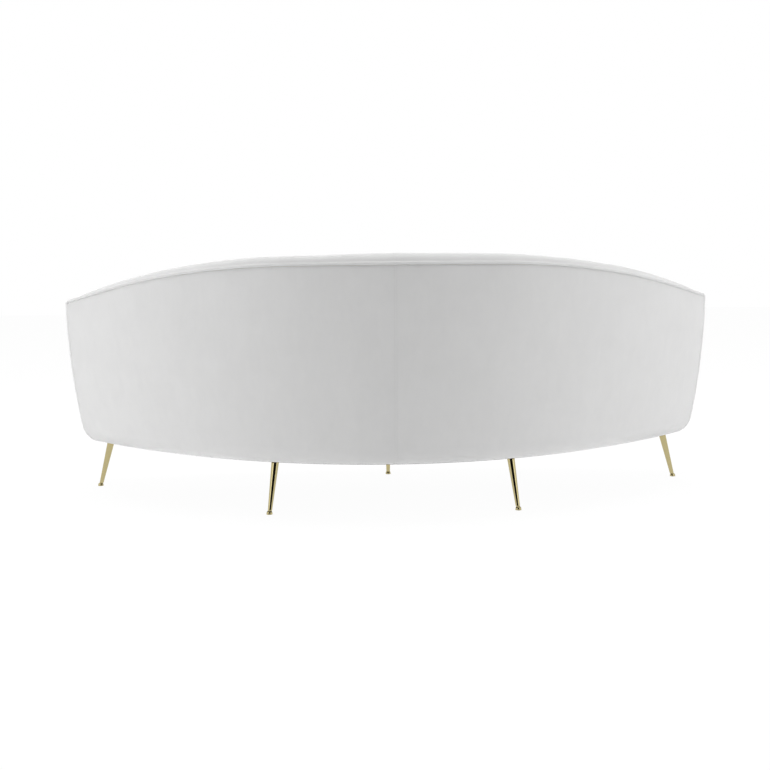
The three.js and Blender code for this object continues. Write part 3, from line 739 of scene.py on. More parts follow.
def pad_between(name, upper, lower, triangles, uv, shade=None):
    """A closed body between two copies of a filled outline."""
    count = len(upper)
    pairs = np.concatenate([triangles[:, [0, 1]], triangles[:, [1, 2]], triangles[:, [2, 0]]])
    keys = {(a, b) for a, b in pairs.tolist()}
    rim = np.array([(a, b) for a, b in pairs.tolist() if (b, a) not in keys])
    walls = np.concatenate([
        np.stack([rim[:, 1], rim[:, 0], rim[:, 0] + count], axis=1),
        np.stack([rim[:, 1], rim[:, 0] + count, rim[:, 1] + count], axis=1),
    ])
    faces = np.concatenate([triangles, triangles[:, ::-1] + count, walls])
    used = np.unique(faces)
    new = np.full(2 * count, -1)
    new[used] = np.arange(len(used))
    points = np.concatenate([upper, lower])[used]
    both_uv = np.tile(uv, (2, 1))[used]
    both_shade = None if shade is None else np.concatenate([shade, np.zeros(count)])[used]
    return make_object(name, points, new[faces], both_uv, both_shade)


# Materials

def new_material(name):
    material = bpy.data.materials.new(name)
    material.use_nodes = True
    return material, material.node_tree, material.node_tree.nodes["Principled BSDF"]


def node(tree, kind, **settings):
    made = tree.nodes.new(kind)
    for key, value in settings.items():
        setattr(made, key, value)
    return made


def place_of(tree, scale=(1, 1, 1), turn=(0, 0, 0), cloth=False):
    """Object coordinates, or the cloth's own, scaled and turned."""
    mapping = node(tree, "ShaderNodeMapping")
    mapping.inputs["Scale"].default_value = scale
    mapping.inputs["Rotation"].default_value = turn
    if cloth:
        source = node(tree, "ShaderNodeUVMap", uv_map="cloth").outputs["UV"]
    else:
        source = node(tree, "ShaderNodeTexCoord").outputs["Object"]
    tree.links.new(source, mapping.inputs["Vector"])
    return mapping.outputs["Vector"]


def noise_at(tree, place, scale, detail=2.0, roughness=0.5, distortion=0.0):
    made = node(tree, "ShaderNodeTexNoise")
    made.inputs["Scale"].default_value = scale
    made.inputs["Detail"].default_value = detail
    made.inputs["Roughness"].default_value = roughness
    made.inputs["Distortion"].default_value = distortion
    tree.links.new(place, made.inputs["Vector"])
    return made.outputs["Fac"]


def ranged(tree, value, low, high, from_low=0.0, from_high=1.0):
    made = node(tree, "ShaderNodeMapRange")
    made.inputs["From Min"].default_value = from_low
    made.inputs["From Max"].default_value = from_high
    made.inputs["To Min"].default_value = low
    made.inputs["To Max"].default_value = high
    tree.links.new(value, made.inputs["Value"])
    return made.outputs["Result"]


def calculated(tree, operation, first, second):
    made = node(tree, "ShaderNodeMath", operation=operation)
    for socket, value in zip(made.inputs, (first, second)):
        if isinstance(value, (int, float)):
            socket.default_value = value
        else:
            tree.links.new(value, socket)
    return made.outputs[0]


def multiplied(tree, first, *others):
    for other in others:
        first = calculated(tree, "MULTIPLY", first, other)
    return first


def cells_at(tree, place, scale, randomness=1):
    """Small cells: the distance from the middle of each."""
    made = node(tree, "ShaderNodeTexVoronoi")
    made.inputs["Scale"].default_value = scale
    made.inputs["Randomness"].default_value = randomness
    tree.links.new(place, made.inputs["Vector"])
    return made.outputs["Distance"]


def between_colours(tree, share, first, second):
    made = node(tree, "ShaderNodeMix", data_type="RGBA")
    tree.links.new(share, made.inputs["Factor"])
    made.inputs["A"].default_value = (*first, 1)
    made.inputs["B"].default_value = (*second, 1)
    return made.outputs["Result"]


def scaled_colour(tree, colour, factor):
    made = node(tree, "ShaderNodeVectorMath", operation="SCALE")
    tree.links.new(colour, made.inputs[0])
    tree.links.new(factor, made.inputs["Scale"])
    return made.outputs["Vector"]


def bumps(tree, heights, shader):
    """Several height fields laid over each other: (height, distance, strength) each."""
    normal = None
    for height, distance, strength in heights:
        made = node(tree, "ShaderNodeBump")
        made.inputs["Distance"].default_value = distance
        made.inputs["Strength"].default_value = strength
        tree.links.new(height, made.inputs["Height"])
        if normal is not None:
            tree.links.new(normal, made.inputs["Normal"])
        normal = made.outputs["Normal"]
    tree.links.new(normal, shader.inputs["Normal"])


def painted(tree, shader, colour, roughness):
    tree.links.new(colour, shader.inputs["Base Color"])
    tree.links.new(roughness, shader.inputs["Roughness"])


def waves(tree, place, scale, direction="X", distortion=0.0):
    made = node(tree, "ShaderNodeTexWave", bands_direction=direction)
    made.inputs["Scale"].default_value = scale
    made.inputs["Distortion"].default_value = distortion
    tree.links.new(place, made.inputs["Vector"])
    return made.outputs["Fac"]


def velvet(name, turn=0.0):
    """Short pale pile on a fine ground weave, darker beside piped seams with painted crease shade and a
    little crushed pile.
    """
    material, tree, shader = new_material(name)
    place = place_of(tree)
    cloth = place_of(tree, turn=(0, 0, turn), cloth=True)
    drift = noise_at(tree, place, scale=4.5, distortion=0.5)
    mottle = noise_at(tree, place, scale=13, detail=3, roughness=0.55, distortion=0.7)
    upright = place_of(tree, scale=(1, 1, 0.35))
    nap = noise_at(tree, upright, scale=34, detail=3, roughness=0.6, distortion=0.4)
    pile = noise_at(tree, place, scale=1500, roughness=0.7)
    # 1 beside a piped seam, where the cloth gets painted crease shade and a little crushed pile
    crease_shade_and_crushed_pile = node(tree, "ShaderNodeAttribute", attribute_name="seam_shade").outputs["Fac"]
    tone = multiplied(
        tree,
        ranged(tree, drift, 0.98, 1.02),
        ranged(tree, nap, 0.988, 1.012),
        ranged(tree, mottle, 0.984, 1.016, 0.2, 0.8),
        ranged(tree, pile, 0.955, 1.04),
        ranged(tree, crease_shade_and_crushed_pile, 1.0, 0.94),
    )
    colour = between_colours(tree, nap, (0.655, 0.655, 0.655), (0.672, 0.671, 0.669))
    painted(tree, shader, scaled_colour(tree, colour, tone), ranged(tree, pile, 0.74, 0.92))
    shader.inputs["Specular IOR Level"].default_value = 0.25
    shader.inputs["Sheen Weight"].default_value = 0.30
    shader.inputs["Sheen Roughness"].default_value = 0.42
    shader.inputs["Sheen Tint"].default_value = (1, 1, 1, 1)
    weft = waves(tree, cloth, 520, "X", 0.4)
    warp = waves(tree, cloth, 620, "Y", 0.4)
    weave = multiplied(tree, weft, warp)
    heights = [(drift, 0.0012, 0.25), (nap, 0.0004, 0.3), (pile, 0.00028, 0.55), (weave, 0.00010, 0.35)]
    bumps(tree, heights, shader)
    return material


def thread_material():
    material, tree, shader = new_material("grey_thread")
    place = place_of(tree)
    twist = noise_at(tree, place, scale=2600)
    colour = between_colours(tree, twist, (0.54, 0.54, 0.54), (0.62, 0.62, 0.615))
    painted(tree, shader, colour, ranged(tree, twist, 0.45, 0.7))
    bumps(tree, [(twist, 0.0001, 0.5)], shader)
    return material


def polished_brass():
    """Bright plated tube: almost a mirror, with faint cloudy wiping marks and fine polishing lines."""
    material, tree, shader = new_material("polished_brass")
    place = place_of(tree)
    cloud = noise_at(tree, place, scale=60, detail=4, roughness=0.6, distortion=0.8)
    line = noise_at(tree, place_of(tree, scale=(1, 1, 22)), scale=240, detail=3, roughness=0.6)
    colour = between_colours(tree, cloud, (0.455, 0.392, 0.205), (0.515, 0.447, 0.242))
    shader.inputs["Metallic"].default_value = 1.0
    painted(tree, shader, colour, ranged(tree, cloud, 0.04, 0.10, 0.3, 0.8))
    shader.inputs["Anisotropic"].default_value = 0.15
    bumps(tree, [(line, 0.00002, 0.25)], shader)
    return material


def zinc_steel():
    material, tree, shader = new_material("zinc_steel")
    place = place_of(tree)
    flakes = cells_at(tree, place, 190)
    cloud = noise_at(tree, place, scale=45, detail=4, roughness=0.6)
    tone = calculated(tree, "ADD", multiplied(tree, flakes, 0.35), cloud)
    colour = between_colours(tree, tone, (0.46, 0.47, 0.48), (0.66, 0.665, 0.67))
    shader.inputs["Metallic"].default_value = 1.0
    painted(tree, shader, colour, ranged(tree, tone, 0.28, 0.46))
    bumps(tree, [(cloud, 0.0001, 0.2)], shader)
    return material


def frame_timber():
    """Sawn softwood and plywood: growth bands drawn out along X and fine pores."""
    material, tree, shader = new_material("frame_timber")
    place = place_of(tree, scale=(1, 6, 6))
    warp = noise_at(tree, place, scale=3, detail=3, roughness=0.6, distortion=0.5)
    bands = waves(tree, place, 9, "DIAGONAL", 7.0)
    pores = noise_at(tree, place_of(tree, scale=(12, 260, 260)), scale=3, detail=3, roughness=0.65)
    share = calculated(tree, "ADD", multiplied(tree, bands, 0.55), multiplied(tree, warp, 0.45))
    colour = between_colours(tree, share, (0.36, 0.215, 0.105), (0.60, 0.42, 0.24))
    colour = scaled_colour(tree, colour, ranged(tree, pores, 0.86, 1.08))
    painted(tree, shader, colour, ranged(tree, pores, 0.55, 0.8))
    bumps(tree, [(pores, 0.0003, 0.5), (bands, 0.0002, 0.3)], shader)
    return material


def foam_material():
    material, tree, shader = new_material("seat_foam_cells")
    place = place_of(tree)
    cells = cells_at(tree, place, 640)
    cloud = noise_at(tree, place, scale=14, detail=3)
    colour = between_colours(tree, cloud, (0.74, 0.66, 0.46), (0.82, 0.76, 0.58))
    factor = ranged(tree, cells, 0.82, 1.05)
    painted(tree, shader, scaled_colour(tree, colour, factor), ranged(tree, cloud, 0.85, 0.98))
    bumps(tree, [(cells, 0.0008, 0.6)], shader)
    return material


def wadding_material():
    material, tree, shader = new_material("polyester_wadding")
    place = place_of(tree)
    fibres = noise_at(tree, place, scale=420, detail=5, roughness=0.7, distortion=2.2)
    clumps = noise_at(tree, place, scale=38, detail=3, roughness=0.6, distortion=0.8)
    colour = between_colours(tree, fibres, (0.72, 0.72, 0.70), (0.86, 0.86, 0.85))
    colour = scaled_colour(tree, colour, ranged(tree, clumps, 0.94, 1.03))
    painted(tree, shader, colour, ranged(tree, fibres, 0.85, 1.0))
    shader.inputs["Sheen Weight"].default_value = 0.35
    bumps(tree, [(clumps, 0.002, 0.5), (fibres, 0.0006, 0.7)], shader)
    return material


def lining_material():
    """Black spunbond cloth with rows of small pressed dots."""
    material, tree, shader = new_material("spunbond_lining")
    place = place_of(tree)
    fibres = noise_at(tree, place, scale=520, detail=4, roughness=0.7, distortion=1.5)
    pressed = ranged(tree, cells_at(tree, place, 420, 0.08), 0, 1, 0.18, 0.34)
    colour = between_colours(tree, fibres, (0.014, 0.014, 0.015), (0.036, 0.036, 0.038))
    factor = ranged(tree, pressed, 1.7, 1.0)
    painted(tree, shader, scaled_colour(tree, colour, factor), ranged(tree, pressed, 0.5, 0.86))
    shader.inputs["Sheen Weight"].default_value = 0.15
    bumps(tree, [(pressed, 0.0002, 0.6), (fibres, 0.0002, 0.5)], shader)
    return material


def webbing_material():
    """Jute webbing: a plain weave of thick yarns, with two dark lines along each strap."""
    material, tree, shader = new_material("jute_webbing")
    cloth = place_of(tree, cloth=True)
    length_yarn = waves(tree, cloth, 130, "Y", 1.0)
    cross_yarn = waves(tree, cloth, 95, "X", 1.0)
    weave = calculated(tree, "MAXIMUM", length_yarn, cross_yarn)
    lines = waves(tree, cloth, 9.0, "Y")
    marked = ranged(tree, lines, 0.0, 1.0, 0.93, 0.97)
    hairs = noise_at(tree, cloth, scale=900, detail=3, roughness=0.7)
    colour = between_colours(tree, marked, (0.33, 0.235, 0.15), (0.10, 0.05, 0.035))
    factor = multiplied(tree, ranged(tree, weave, 0.62, 1.08), ranged(tree, hairs, 0.85, 1.12))
    painted(tree, shader, scaled_colour(tree, colour, factor), ranged(tree, hairs, 0.78, 0.98))
    bumps(tree, [(weave, 0.0005, 0.8), (hairs, 0.0002, 0.4)], shader)
    return material


velvet_cover = velvet("pale_grey_velvet")
bias_velvet = velvet("pale_grey_velvet_bias", math.radians(45))
thread = thread_material()
brass = polished_brass()
steel = zinc_steel()
timber = frame_timber()
foam = foam_material()
wadding = wadding_material()
lining = lining_material()
webbing = webbing_material()


def put_in(piece, material, slot, *nodes):
    """Finishes a piece: its material, its body and the nodes that it stands for; the slot is not used."""
    piece.data.materials.clear()
    piece.data.materials.append(material)
    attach(piece, "root")
    if nodes:
        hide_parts(*nodes)


# Upholstery relief

half_run = float(back_path([half_span]).run[0])


def seam_relief(away):
    """Height of the cloth beside a joined and topstitched seam, 'away' from it."""
    fold = -seam_fold_depth * bell(away, seam_fold_reach)
    ridge = seam_ridge_height * bell(away - seam_ridge_out, seam_ridge_reach)
    stitched = -stitch_sink * bell(away - topstitch_out, stitch_sink_reach)
    return fold + ridge + stitched


def piped_edge_relief(run, below):
    """The cloth drawn in beside piping, with small puckers that die away."""
    gather = soft_noise(run, 0.2 * below, pucker_length, 3)
    gather = gather + 0.5 * soft_noise(run, below, 0.4 * pucker_length, 4)
    return -edge_pull * bell(below, edge_pull_reach) + pucker_depth * gather * np.exp(-below / pucker_reach)


def swell(run, below, seed):
    """Wide shallow waves of a cloth over padding, with smaller ones on them."""
    wide = soft_noise(run, below, swell_length, seed)
    return swell_depth * (wide + 0.4 * soft_noise(run, below, 0.35 * swell_length, seed + 1))


def near_arm_end(path):
    """0 at the shell's open ends and 1 away from them."""
    return smooth_step((half_run - np.abs(path.run)) / arm_end_fade)[:, None]


def turned_in(path):
    """How far the cloth turns in at the shell's open ends."""
    return (-end_turn_in * bell(half_run - np.abs(path.run), end_turn_reach))[:, None]


def above_hem(points):
    """0 where a cover turns under the frame and 1 above that."""
    return smooth_step((points[..., 2] - body_bottom) / hem_fade)


# Places of the mesh beside the middle seam, and below the piping
seam_places = np.array([
    0.03, 0.3, 0.6, 0.95, 1.3, 1.6, 1.9, 2.2, 2.45, 2.7, 2.9, 3.1, 3.3, 3.55, 3.8,
    4.2, 4.8, 5.6, 6.8, 8.4, 10.5, 13.2, 16.6, 21,
]) / 1000
near_drops = np.array([0, 1.2, 2.4, 3.6, 5, 6.6, 8.5, 11, 14, 18, 23, 29, 36, 44, 54]) / 1000
wadding_drops = np.array([0, 8, 20, 40]) / 1000


def half_stations(side):
    """Stations of the plan curve from the middle seam to one arm end."""
    beyond = spaced(seam_places[-1], half_span, cover_pitch, seam_step, edge_step)
    return back_path(side * np.concatenate([seam_places, beyond[1:]]))


# The outside of the back

def outside_surface(path):
    """The outside cover's outer face, its directions and its distance below the piping."""
    first_drop = piping_radius + seam_gap
    drops = outside_drops(path, 0, first_drop, near_drops, 40)
    out, up = outside_face(path, 0, drops, 14)
    lap = np.maximum(-bottom_lap, inside_low(path.share) + curved_gap)[:, None]
    out = np.concatenate([lap, 0.5 * lap, out], axis=1)
    up = np.concatenate([np.full_like(lap, body_bottom)] * 2 + [up], axis=1)
    below = outside_top(path.x)[:, None] - first_drop - up
    return on_path(path, out, up), below


def dressed(points, relief, thickness, towards):
    """The outer and inner faces of a layer, and the directions square to it."""
    normals = grid_normals(points, towards)
    outer = points + normals * relief[..., None]
    return outer, outer - normals * thickness, normals


def shade_by(*distances):
    """1 beside a seam, fading to 0: the share of painted crease shade that the velvet gets there."""
    return np.clip(sum(bell(distance, seam_shade_reach) for distance in distances), 0, 1)


stitch_lines = []


def note_topstitch(points, normals, across, side, shown):
    """Keeps the line of the topstitching on one side of the middle seam, to be sewn later."""
    row = int(np.argmin(np.abs(across - side * topstitch_out)))
    stitch_lines.append((points[row, shown], normals[row, shown]))


def outside_cover(side, name):
    path = half_stations(side)
    points, below = outside_surface(path)
    run, free, hem = path.run[:, None], near_arm_end(path), above_hem(points)
    relief = free * hem * (piped_edge_relief(run, below) + swell(run, below, 11)) + turned_in(path)
    relief += hem * seam_relief(np.abs(run))
    relief -= (1 - free) * hem * 0.6 * edge_pull * bell(below, edge_pull_reach)
    # Painted crease shade below the top piping, faded out towards the arm ends, where the side lamps light
    # the crease
    shade = shade_by(below) * (1 - path.share[:, None] ** 2)
    outer, inner, normals = dressed(points, relief, taut_skin, (0, 1, 0))
    piece = shell(f"outside_cover_{name}", outer, inner, grid_uv(points), shade)
    put_in(piece, velvet_cover, "fabric", f"outside_back_cover_{name}")
    note_topstitch(outer, normals, path.run, side, slice(4, None))


def whole_stations(pitch, fine=None):
    """Stations of the plan curve from one arm end to the other."""
    half = spaced(0, half_span, pitch, None, fine)
    return back_path(np.concatenate([-half[:0:-1], half]))


def outside_wadding():
    path = whole_stations(wadding_pitch)
    first_drop = piping_radius + seam_gap + padded_thick + curved_gap
    drops = outside_drops(path, cover_thick + layer_gap, first_drop, wadding_drops, 24)
    points = on_path(path, *outside_face(path, cover_thick + layer_gap, drops, 8))
    below = outside_top(path.x)[:, None] - points[..., 2]
    lifted = smooth_step((points[..., 2] - body_bottom) / wadding_fade)
    relief = near_arm_end(path) * (swell(path.run[:, None], below, 11) - wadding_play) * lifted
    thickness = wadding_thick - wadding_squash
    outer, inner, _ = dressed(points, np.minimum(relief, wadding_play), thickness, (0, 1, 0))
    piece = shell("outside_wadding", outer, inner)
    put_in(piece, wadding, "wadding", "outside_back_padding")


# Cloth that swells between its sewn lines

def cubic_at(values, places):
    """Values between a row's entries, on smooth curves; places count in entries."""
    first = np.clip(np.floor(places).astype(int), 0, len(values) - 2)
    t = (places - first).reshape(-1, *([1] * (values.ndim - 1)))
    before, start = values[np.maximum(first - 1, 0)], values[first]
    end, after = values[first + 1], values[np.minimum(first + 2, len(values) - 1)]
    return cubic_between(before, start, end, after, t)


def swelled(points, held, most):
    """How far each point of a cloth grid moves when air is blown under it while its sewn points stay."""
    rows, columns = points.shape[:2]
    faces = grid_faces(rows, columns)
    mesh = bpy.data.meshes.new("blown_cloth")
    mesh.from_pydata(points.reshape(-1, 3).tolist(), [], faces.tolist())
    blown = add_object("blown_cloth", mesh)
    sewn = blown.vertex_groups.new(name="sewn")
    sewn.add(np.nonzero(held.ravel())[0].tolist(), 1.0, "REPLACE")
    cloth = blown.modifiers.new("cloth", "CLOTH")
    cloth.point_cache.frame_start, cloth.point_cache.frame_end = 1, swell_frames
    settings = cloth.settings
    settings.quality = 6
    settings.mass = 0.25
    settings.tension_stiffness = settings.compression_stiffness = 20
    settings.shear_stiffness = 8
    settings.bending_stiffness = 0.8
    settings.vertex_group_mass = "sewn"
    settings.shrink_min = -swell_spare
    settings.use_pressure = True
    settings.uniform_pressure_force = swell_blow
    settings.effector_weights.gravity = 0
    for step in range(1, swell_frames + 1):
        bpy.context.scene.frame_set(step)
    shown = blown.evaluated_get(bpy.context.evaluated_depsgraph_get())
    after = np.array([vertex.co for vertex in shown.data.vertices]).reshape(points.shape)
    bpy.data.objects.remove(blown)
    bpy.context.scene.frame_set(1)
    moved = after - points
    length = np.linalg.norm(moved, axis=2, keepdims=True)
    return moved * most / (most + length)


# The inside of the back, with the crowned pad along its top

def back_swelling(side, path, columns):
    """The blown cloth's movement at each station of one half of the inside back."""
    stations = 84
    coarse = back_path(side * np.linspace(seam_places[0], half_span, stations))
    grid = on_path(coarse, *inside_face(coarse, 6))
    if side > 0:
        grid = grid[::-1]
    held = np.zeros(grid.shape[:2], bool)
    held[[0, -1]] = held[:, [0, -1]] = True
    held |= (grid[..., 2] < seat_edge_top) | (grid[..., 2] > outside_top(grid[..., 0]) - shoulder_drop)
    moved = swelled(grid, held, back_swell_most)
    if side > 0:
        moved = moved[::-1]
    at_station = (np.abs(path.x) - seam_places[0]) / (half_span - seam_places[0]) * (stations - 1)
    along = cubic_at(moved, at_station)
    steps = np.linspace(0, grid.shape[1] - 1, columns)
    return np.swapaxes(cubic_at(np.swapaxes(along, 0, 1), steps), 0, 1)


def inside_cover(side, name):
    path = half_stations(side)
    points = on_path(path, *inside_face(path))
    run = path.run[:, None]
    from_piping = np.array([run_along(column) for column in points])
    above_seat = smooth_step((points[..., 2] - seat_edge_top + seat_hides_below) / seat_hides_fade)
    swelling = 1.3 * swell(run, from_piping, 21) * above_seat
    rolled = roll_swell * bell(from_piping - roll_swell_up, roll_swell_reach)
    gathered = 0.5 * piped_edge_relief(run, from_piping)
    relief = near_arm_end(path) * (gathered + swelling + rolled) + turned_in(path)
    relief += mix(0.35, 1, above_seat) * seam_relief(np.abs(run))
    # Painted crease shade beside the top piping, faded out towards the arm ends
    shade = shade_by(from_piping) * (1 - path.share[:, None] ** 2)
    freed = smooth_step((from_piping - blown_from) / blown_fade) * above_seat
    points = points + freed[..., None] * back_swelling(side, path, points.shape[1])
    outer, inner, normals = dressed(points, relief, padded_skin, (0, -1, 0))
    piece = shell(f"inside_cover_{name}", outer, inner, grid_uv(points), shade)
    put_in(piece, velvet_cover, "fabric", f"inside_back_cover_{name}")
    shown = np.nonzero(points[0, :, 2] > seat_edge_top + stitch_above_seat)[0][3:]
    note_topstitch(outer, normals, path.run, side, shown)


def moved_in(out, up, depth):
    """A section's line moved square to itself, into the padding."""
    run_out, run_up = np.gradient(out, axis=1), np.gradient(up, axis=1)
    length = np.hypot(run_out, run_up)
    return out - depth * run_up / length, up + depth * run_out / length


def frame_depths(path):
    """Depths inside the outside face at which the frame starts and ends."""
    panel = cover_thick + layer_gap + wadding_thick + layer_gap
    start = panel + panel_thick + curved_gap
    return start, start + frame_thick(path.share)[:, None]


def line_down(path, depth, drop, low_up, count):
    """Out and up along the outside face's shape, from 'drop' below the top down to a height."""
    top, _, spread = arc_columns(path)
    up = mix(top - drop, low_up, np.linspace(0, 1, count)[None, :])
    large = outside_radius - depth
    return np.sqrt(large**2 - (up - top) ** 2) - spread, up


def back_foam():
    path = whole_stations(back_foam_pitch, foam_edge_step)
    out, up = moved_in(*inside_face(path, 6), padded_thick + layer_gap)
    start, end = frame_depths(path)
    depth = end + 2 * curved_gap + cloth_thick + layer_gap
    edge_drop = piping_radius + seam_gap + padded_thick + curved_gap
    count = out.shape[1]
    behind_out, behind_up = line_down(path, depth, edge_drop, rail_top + deck_clear, count - 2)
    top, flare = outside_top(path.x)[:, None], flare_at(path.x)[:, None]
    lip = flare - start - layer_gap
    rear_out = np.concatenate([lip, lip, behind_out], axis=1)
    rear_up = np.concatenate([top - edge_drop + curved_gap, top - edge_drop, behind_up], axis=1)
    piece = shell("back_foam", on_path(path, out, up), on_path(path, rear_out, rear_up))
    put_in(piece, foam, "foam", "inside_back_foam")


def back_cloth():
    path = whole_stations(back_cloth_pitch)
    _, end = frame_depths(path)
    depth = end + curved_gap
    drop = piping_radius + seam_gap + padded_thick + 2 * curved_gap + cloth_thick
    points = on_path(path, *line_down(path, depth + layer_gap, drop, rail_top, 18))
    lift = np.full(points.shape[:2], back_cloth_thick)
    outer, inner, _ = dressed(points, lift, back_cloth_thick, (0, -1, 0))
    piece = shell("back_cloth", outer, inner, grid_uv(points))
    put_in(piece, webbing, "webbing", "back_support_cloth")


# Piping

def piping(name, path, out, up, stands_for):
    """A fabric tube round a cord, its ends rounded over, a little uneven along its run."""
    from_end = np.minimum(path.run - path.run[0], path.run[-1] - path.run)
    rounding = np.sqrt(np.clip(1 - (1 - np.clip(from_end / piping_radius, 0, 1)) ** 2, 0.02, 1))
    uneven = 1 + 0.025 * soft_noise(path.run, 0, piping_lump, 31) - 0.015
    radius = (piping_radius * rounding * uneven)[:, None]
    sway = piping_sway * soft_noise(path.run, 0, piping_sway_length, 32)[:, None]
    angle = circle(18)[None, :]
    rings = on_path(path, out + sway + radius * np.cos(angle), up + radius * np.sin(angle))
    uv = np.stack(np.broadcast_arrays(path.run[:, None], angle * piping_radius), axis=2)
    piece = ring_body(name, rings, piping_crisp, uv)
    put_in(piece, bias_velvet, "fabric", stands_for)


def top_piping():
    path = whole_stations(piping_pitch, 0.75 * edge_step)
    out, up = flare_at(path.x)[:, None] - piping_inset, outside_top(path.x)[:, None]
    piping("top_piping", path, out, up, "back_edge_welt")


# The seat's plan: rear line, the step round each arm end, and the front line

SeatEnd = namedtuple("SeatEnd", "square along inner start radius centre last")

front_centre = np.array([0, plan_y(half_span) - seat_before_arms + seat_front_radius])


def seat_end():
    """The seat's left end: a short straight run beside the arm end, then a round corner to the front."""
    end = back_path([half_span])
    square = np.array([end.nx[0], end.ny[0]])
    along = np.array([end.ny[0], -end.nx[0]])
    past = np.array([end.x[0], end.y[0]]) + along * (facing_thick + 2 * seam_gap + layer_gap)
    inner = past + square * (inside_low_end - seat_back_gap)
    start = past + square * seat_end_out
    turn = start + along * seat_end_run
    offset = turn - front_centre
    radius = (offset @ offset - seat_front_radius**2) / (2 * (square @ offset - seat_front_radius))
    centre = turn - square * radius
    last = (centre - front_centre) / np.linalg.norm(centre - front_centre)
    return SeatEnd(square, along, inner, start, radius, centre, last)


left_end = seat_end()


def front_line(pitch, fine=None, middle_places=()):
    """The seat's front and rounded ends from left to right: points with their outward directions."""
    end = left_end
    straight = spaced(0, seat_end_run, pitch, fine)[:-1, None]
    points = [end.start + straight * end.along]
    normals = [np.repeat(end.square[None], len(straight), axis=0)]
    first, last = math.atan2(end.square[1], end.square[0]), math.atan2(end.last[1], end.last[0])
    steps = max(8, round((first - last) * end.radius / pitch))
    angles = np.linspace(first, last, steps + 1)
    corner = np.stack([np.cos(angles), np.sin(angles)], axis=1)
    points.append(end.centre + corner * end.radius)
    normals.append(corner)
    half_angle = math.asin(end.last[0])
    reach = half_angle * seat_front_radius
    middle = np.asarray(middle_places)
    closest = middle[-1] if len(middle) else 0
    last_step = seam_step if len(middle) else None
    places = np.concatenate([spaced(reach, closest, pitch, None, last_step)[1:], middle[-2::-1]])
    turn = (places if len(middle) else places[:-1]) / seat_front_radius
    arc = np.stack([np.sin(turn), -np.cos(turn)], axis=1)
    points.append(front_centre + arc * seat_front_radius)
    normals.append(arc)
    return np.concatenate(points), np.concatenate(normals)


def whole_front(pitch, fine=None, middle_places=()):
    """The seat's whole front as a path, its run counted from the middle."""
    half, half_normals = front_line(pitch, fine, middle_places)
    middle = np.reshape([] if len(middle_places) else front_centre + [0, -seat_front_radius], (-1, 2))
    middle_normal = np.reshape([] if len(middle_places) else [0, -1], (-1, 2))
    points = np.concatenate([half, middle, half[::-1] * mirrored])
    normals = np.concatenate([half_normals, middle_normal, half_normals[::-1] * mirrored])
    run = run_along(points)
    run -= run[-1] / 2
    return Path(points[:, 0], points[:, 1], normals[:, 0], normals[:, 1], np.zeros(len(points)), run)


def resampled(line, count):
    """A line of 'count' points at even shares of its length, or at the given shares."""
    line = np.asarray(line, float)
    length = run_along(line)
    places = length[-1] * (np.linspace(0, 1, count) if isinstance(count, int) else np.asarray(count))
    return np.stack([np.interp(places, length, values) for values in line.T], axis=1)


def resampled_loop(outline, count):
    """A closed outline of 'count' points at even shares of its length."""
    return resampled(np.concatenate([outline, outline[:1]]), count)[:-1]


def seat_rear_line():
    """From the left step to the right one."""
    across = np.linspace(half_span, -half_span, 400)
    path = back_path(across)
    out = inside_low(path.share) - seat_back_gap
    line = np.stack([path.x + out * path.nx, path.y + out * path.ny], axis=1)
    return np.concatenate([[left_end.inner], line, [left_end.inner * mirrored]])


def seat_front_line():
    path = whole_front(piping_pitch)
    return np.stack([path.x, path.y], axis=1)


rear_line, front_edge = seat_rear_line(), seat_front_line()
seat_outline = np.concatenate([rear_line, front_edge[::-1]])


def seat_grid(columns, rows):
    """Plan points over the seat: columns run from left to right, rows from the back to the front."""
    rear, front = resampled(rear_line, columns), resampled(front_edge, columns)
    return mix(rear[:, None, :], front[:, None, :], np.asarray(rows)[None, :, None])


def from_seat_edge(plan):
    return edge_distance(plan.reshape(-1, 2), seat_outline).reshape(plan.shape[:2])


def eased_shares(length, pitch, fine):
    """Shares of a length, closer together at both of its ends."""
    places = spaced(0, length / 2, pitch, fine)
    half = places / length
    return np.concatenate([half, (1 - half)[-2::-1]])


def seat_height(away):
    """The seat's upper surface above its skin's lowest line, by the distance from its edge."""
    inside = np.clip(seat_round - away, 0, seat_round)
    rounded = np.sqrt(seat_round**2 - inside**2)
    crown_share = np.clip((away - seat_round) / seat_crown_reach, 0, 1)
    return rounded + seat_crown * (1 - (1 - crown_share) ** seat_crown_power)


seat_skirt_up = seat_edge_top - seat_round


def seat_swelling(columns, rows):
    """The blown cloth's movement at each place of the seat's grid."""
    across, deep = 161, 45
    plan = seat_grid(np.linspace(0, 1, across), np.linspace(0, 1, deep))
    away = from_seat_edge(plan)
    grid = np.dstack([plan, seat_skirt_up + seat_height(away)])
    held = away < seat_round
    held[across // 2] = True
    moved = swelled(grid, held, seat_swell_most)
    along = cubic_at(moved, columns * (across - 1))
    return np.swapaxes(cubic_at(np.swapaxes(along, 0, 1), rows * (deep - 1)), 0, 1)


